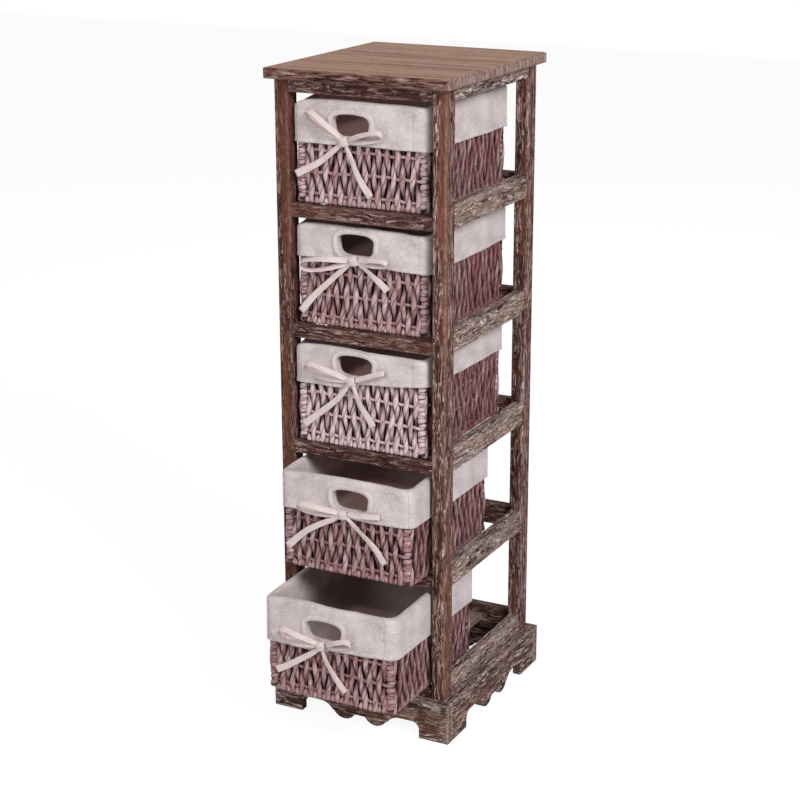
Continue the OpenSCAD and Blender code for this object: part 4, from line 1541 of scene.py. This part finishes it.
@dataclass
class Bow:
    """A ribbon bow under a hand hole: two loops, two tails and a knot, in millimetres.

    Attributes:
        place: Where the basket stands.
        knot: The knot, by x from the middle of the basket and z above its foot.
        loops: Its left loop and its right loop.
        tails: Its left tail and its right tail.
        half: Half the ribbon's width.
        thick: Thickness of the ribbon.
    """

    place: BasketPlace
    knot: tuple[float, float]
    loops: tuple[Loop, Loop]
    tails: tuple[Tail, Tail]
    half: float = 4.8
    thick: float = 0.7

    def lay_strip(self, parts: MeshParts, line: np.ndarray, across: np.ndarray,
                  half: np.ndarray, cup: np.ndarray, start: float) -> None:
        """Lays one stretch of ribbon.

        Args:
            parts: Where it is added.
            line: Its middle line, by x from the knot, out from the wall, and z from the knot.
            across: Direction of its width at each point.
            half: Half its width at each point.
            cup: How far its middle stands above its edges at each point.
            start: Where its pattern starts along the ribbon.
        """
        along = unit(np.gradient(line, axis=0))
        across = square_to(along, across)
        face = np.cross(along, across)
        face = face * np.where(face[:, 1:2].mean() < 0, -1.0, 1.0)
        share, reach = np.linspace(-1, 1, 9), reach_along(line)
        crease = 0.16 * np.sin(3.4 * share[None, :] + reach[:, None] / 11 + start)
        lift = cup[:, None] * (1 - share ** 2)[None, :] + crease
        grid = (line[:, None, :] + across[:, None, :] * (share[None, :] * half[:, None])[..., None]
                + face[:, None, :] * lift[..., None])
        self.lay_sheet(parts, grid, share * self.half, reach + start)

    def lay_sheet(self, parts: MeshParts, grid: np.ndarray, across: np.ndarray,
                  along: np.ndarray, flip: bool = False) -> None:
        """Lays a grid of points, which are given from the knot, as MeshParts.add_grid has it."""
        x, out, z = np.moveaxis(grid, -1, 0)
        placed = self.place.in_front(x + self.knot[0], out, z + self.knot[1])
        parts.add_grid(placed, across, along, closed=False, flip=flip)

    def lay_loop(self, parts: MeshParts, loop: Loop, start: float) -> None:
        """Lays a loop: out from the knot, round its tip, and back over itself."""
        x, z = loop.tip
        reach, samples = math.hypot(x, z), 56
        out_way, up_way = np.array([x, 0, z]) / reach, np.array([-z, 0, x]) / reach
        up_way = up_way * math.copysign(1, up_way[2])
        stand, half_open = math.radians(loop.stand), loop.open / 2
        out = np.array([0.0, 1.0, 0.0])
        turn_width = up_way * math.cos(stand) - out * math.sin(stand)
        part_way = up_way * math.sin(stand) + out * math.cos(stand)
        half_plan = [(0.0, 0.0), (0.2, -0.35), (0.5, -0.85), (0.8, -1.0), (0.95, -0.7)]
        plan = half_plan + [(1.0, 0.0)] + [(a, -b) for a, b in half_plan[::-1]]
        near_knot = 4.2
        base = 3.2 + math.sin(stand) * self.half + math.cos(stand) * half_open
        points = [out_way * reach * a + part_way * half_open * b
                  + out * (near_knot + (base - near_knot) * smooth(np.array(a * 1.6)))
                  for a, b in plan]
        line, share = curve_through(points, samples), np.linspace(0, 1, samples)
        tip = smooth((0.5 - np.abs(share - 0.5)) / 0.3)[:, None]
        across = up_way * (1 - tip) + turn_width * tip
        near = np.minimum(share, 1 - share) * 2 * reach
        half = self.half * (0.5 + 0.28 * smooth(near / 18))
        cup = 1.5 * (1 - smooth(near / 22)) + 0.3
        self.lay_strip(parts, line, across, half, cup, start)

    def lay_tail(self, parts: MeshParts, tail: Tail, start: float) -> None:
        """Lays a tail from the knot to its cut end."""
        x, z = tail.end
        reach = math.hypot(x, z)
        out_way, side_way = np.array([x, 0, z]) / reach, np.array([-z, 0, x]) / reach
        share = np.linspace(0, 1, 40)
        bow = tail.bow * np.sin(math.pi * share) + 0.6 * np.sin(2.6 * math.pi * share + start)
        out = 4.6 - 2.0 * smooth(share * 2.2) + 0.5 * np.sin(5 * share + start)
        line = out_way * (share * reach)[:, None] + side_way * bow[:, None]
        turn = np.radians(tail.turn) * np.sin(math.pi * np.clip(share * 1.25, 0, 1)) ** 2
        across = side_way * np.cos(turn)[:, None] + np.array([0, 1, 0]) * np.sin(turn)[:, None]
        line[:, 1] = out + np.abs(np.sin(turn)) * self.half * 0.8
        near = share * reach
        half = self.half * (0.45 + 0.25 * smooth(near / 22) + 0.32 * share)
        cup = 1.3 * (1 - smooth(near / 26)) + 0.25
        self.lay_strip(parts, line, across, half, cup, start)

    def lay_knot(self, parts: MeshParts) -> None:
        """Lays the band of the knot, which wraps the crossing from top to foot."""
        t, share, tilt = np.append(ring_angles(28), 2 * math.pi), np.linspace(-1, 1, 9), 18
        c, s = math.cos(math.radians(tilt)), math.sin(math.radians(tilt))
        barrel = (1 - 0.24 * np.abs(share) ** 2.4) * (1 + 0.035 * np.sin(share * 7 + 1))
        up = np.sin(t)[:, None] * 6.4 * barrel[None, :]
        out = 5.4 + np.cos(t)[:, None] * 3.9 * barrel[None, :]
        wide = share[None, :] * 6.6 * (1 - 0.1 * np.cos(t))[:, None]
        grid = np.stack([wide * c - up * s, out, wide * s + up * c], -1)
        self.lay_sheet(parts, grid, share * 4.5, t * 5, flip=True)

    def make(self, ribbon: bpy.types.Material) -> bpy.types.Object:
        parts = MeshParts()
        for k, loop in enumerate(self.loops):
            self.lay_loop(parts, loop, 40.0 * k + self.place.number)
        for k, tail in enumerate(self.tails):
            self.lay_tail(parts, tail, 90 + 40.0 * k + self.place.number)
        self.lay_knot(parts)
        piece = parts.build(f"bow_{self.place.number}")
        thicken(piece, self.thick)
        return self.place.hand_over(piece, ribbon, "bow", "linen")


def pick(piece: bpy.types.Object) -> None:
    """Makes a piece the active object, and the only one that is selected."""
    bpy.ops.object.select_all(action="DESELECT")
    bpy.context.view_layer.objects.active = piece
    piece.select_set(True)


def thicken(piece: bpy.types.Object, thickness: float) -> None:
    """Gives a sheet its thickness, half to each side, in millimetres."""
    pick(piece)
    modifier = piece.modifiers.new("thickness", "SOLIDIFY")
    modifier.thickness, modifier.offset = thickness * MM, 0.0
    modifier.use_even_offset = False
    bpy.ops.object.modifier_apply(modifier=modifier.name)
    piece.data.shade_smooth()
    piece.select_set(False)


@dataclass(frozen=True)
class BasketPlan:
    """What differs from basket to basket, in millimetres.

    Attributes:
        pale: How pale its weave is, from 0 to 1.
        red: How red its weave is, from 0 to 1.
        hole: Its hand hole.
        edges: Heights of its flap's lower edge at the corners, as Liner has them.
        rises: How its rim rises along the front, as Liner has it.
        seam: How far its front right seam lies from the corner.
        painted_glow: Strength of the painted glow low in its bag, from 0 to 1.
        knot: Place of its knot.
        loops: The left and right loop of its bow.
        tails: The left and right tail of its bow.
    """

    pale: float
    red: float
    hole: HandHole
    edges: tuple[float, float, float, float]
    rises: tuple[tuple[float, float], ...]
    seam: float
    painted_glow: float
    knot: tuple[float, float]
    loops: tuple[Loop, Loop]
    tails: tuple[Tail, Tail]


PLANS = (
    BasketPlan(0.45, 0.06, HandHole(-13, 104.7), (81, 81, 81, 81),
               ((-170, 0), (-130, -3.5), (-110, -6.5), (-99, -7), (-90, -3.2), (-82, -1),
                (-66, 0), (0, 0.6), (60, 0), (98, -2), (115, 0)), 20, 1.0,
               (-20, 86.2), (Loop((-52, 36), 15, 56), Loop((57, 13), 14, 52)),
               (Tail((-73, -48), 3, 12), Tail((35, -69), -3, 12))),
    BasketPlan(0.34, 0.04, HandHole(-8, 112.7), (93, 86, 88, 92),
               ((-125, 0), (-108, -3), (-98, -3.5), (-88, -0.8), (-60, 0.5), (0, 0),
                (60, -0.5), (98, -2.5), (115, 0)), 12, 0.4,
               (-8, 94.2), (Loop((-76, -12), 19, 58), Loop((50, 2), 10, 58)),
               (Tail((-82, -77), -4, 15), Tail((46, -36), 3, 25))),
    BasketPlan(0.85, 0.0, HandHole(-8, 113.7), (84, 100, 94, 88),
               ((-125, 0.5), (-108, -3), (-98, -3), (-88, 0.6), (-30, 1.8), (10, -2),
                (80, -1), (98, -2.5), (115, 0)), 18, 0.9,
               (-10, 95.2), (Loop((-66, 16), 21, 56), Loop((50, 19), 5, 35)),
               (Tail((-75, -70), 4, 10), Tail((30, -59), -3, 12))),
    BasketPlan(0.22, 0.14, HandHole(8, 107.7), (84, 84, 84, 84),
               ((-120, 0), (-100, -1.5), (-60, 0), (0, 0.8), (60, 0), (98, -1), (115, 0)), 3, 0.8,
               (0, 89.2), (Loop((-66, 6), 20, 48), Loop((54, 6), 3, 12)),
               (Tail((-89, -60), -5, 20), Tail((60, -60), 3, 20))),
    BasketPlan(0.25, 0.16, HandHole(-8, 100.7), (73, 81, 79, 75),
               ((-120, 0), (-100, -2), (-80, 0.8), (-35, 2.2), (5, -1), (80, 0), (98, 0.5),
                (115, 0)), 13, 0.5,
               (-9, 82.2), (Loop((-61, 14), 24, 58), Loop((46, 16), 14, 50)),
               (Tail((-72, -49), 3, 12), Tail((35, -60), -6, 14))),
)


def main() -> None:
    """Builds the studio, dresses the rack and makes the baskets."""
    logging.basicConfig(level=logging.INFO, format="%(message)s")
    groups = Groups()
    Studio().make()
    Rack(groups).dress()
    steel, cord = ANNEALED_STEEL.make(), FibreCord().make(groups)
    linen, ribbon = LINER_LINEN.make(groups), BOW_RIBBON.make(groups)
    for number, plan in enumerate(PLANS, 1):
        place = BasketPlace(number, plan.hole)
        Weave(place, plan.pale, plan.red).make(cord)
        liner = Liner(place, plan.edges, plan.rises, plan.seam, plan.painted_glow)
        liner.make(linen)
        Wire(place, liner).make(steel)
        Bow(place, plan.knot, plan.loops, plan.tails).make(ribbon)


if __name__ == "__main__":
    main()
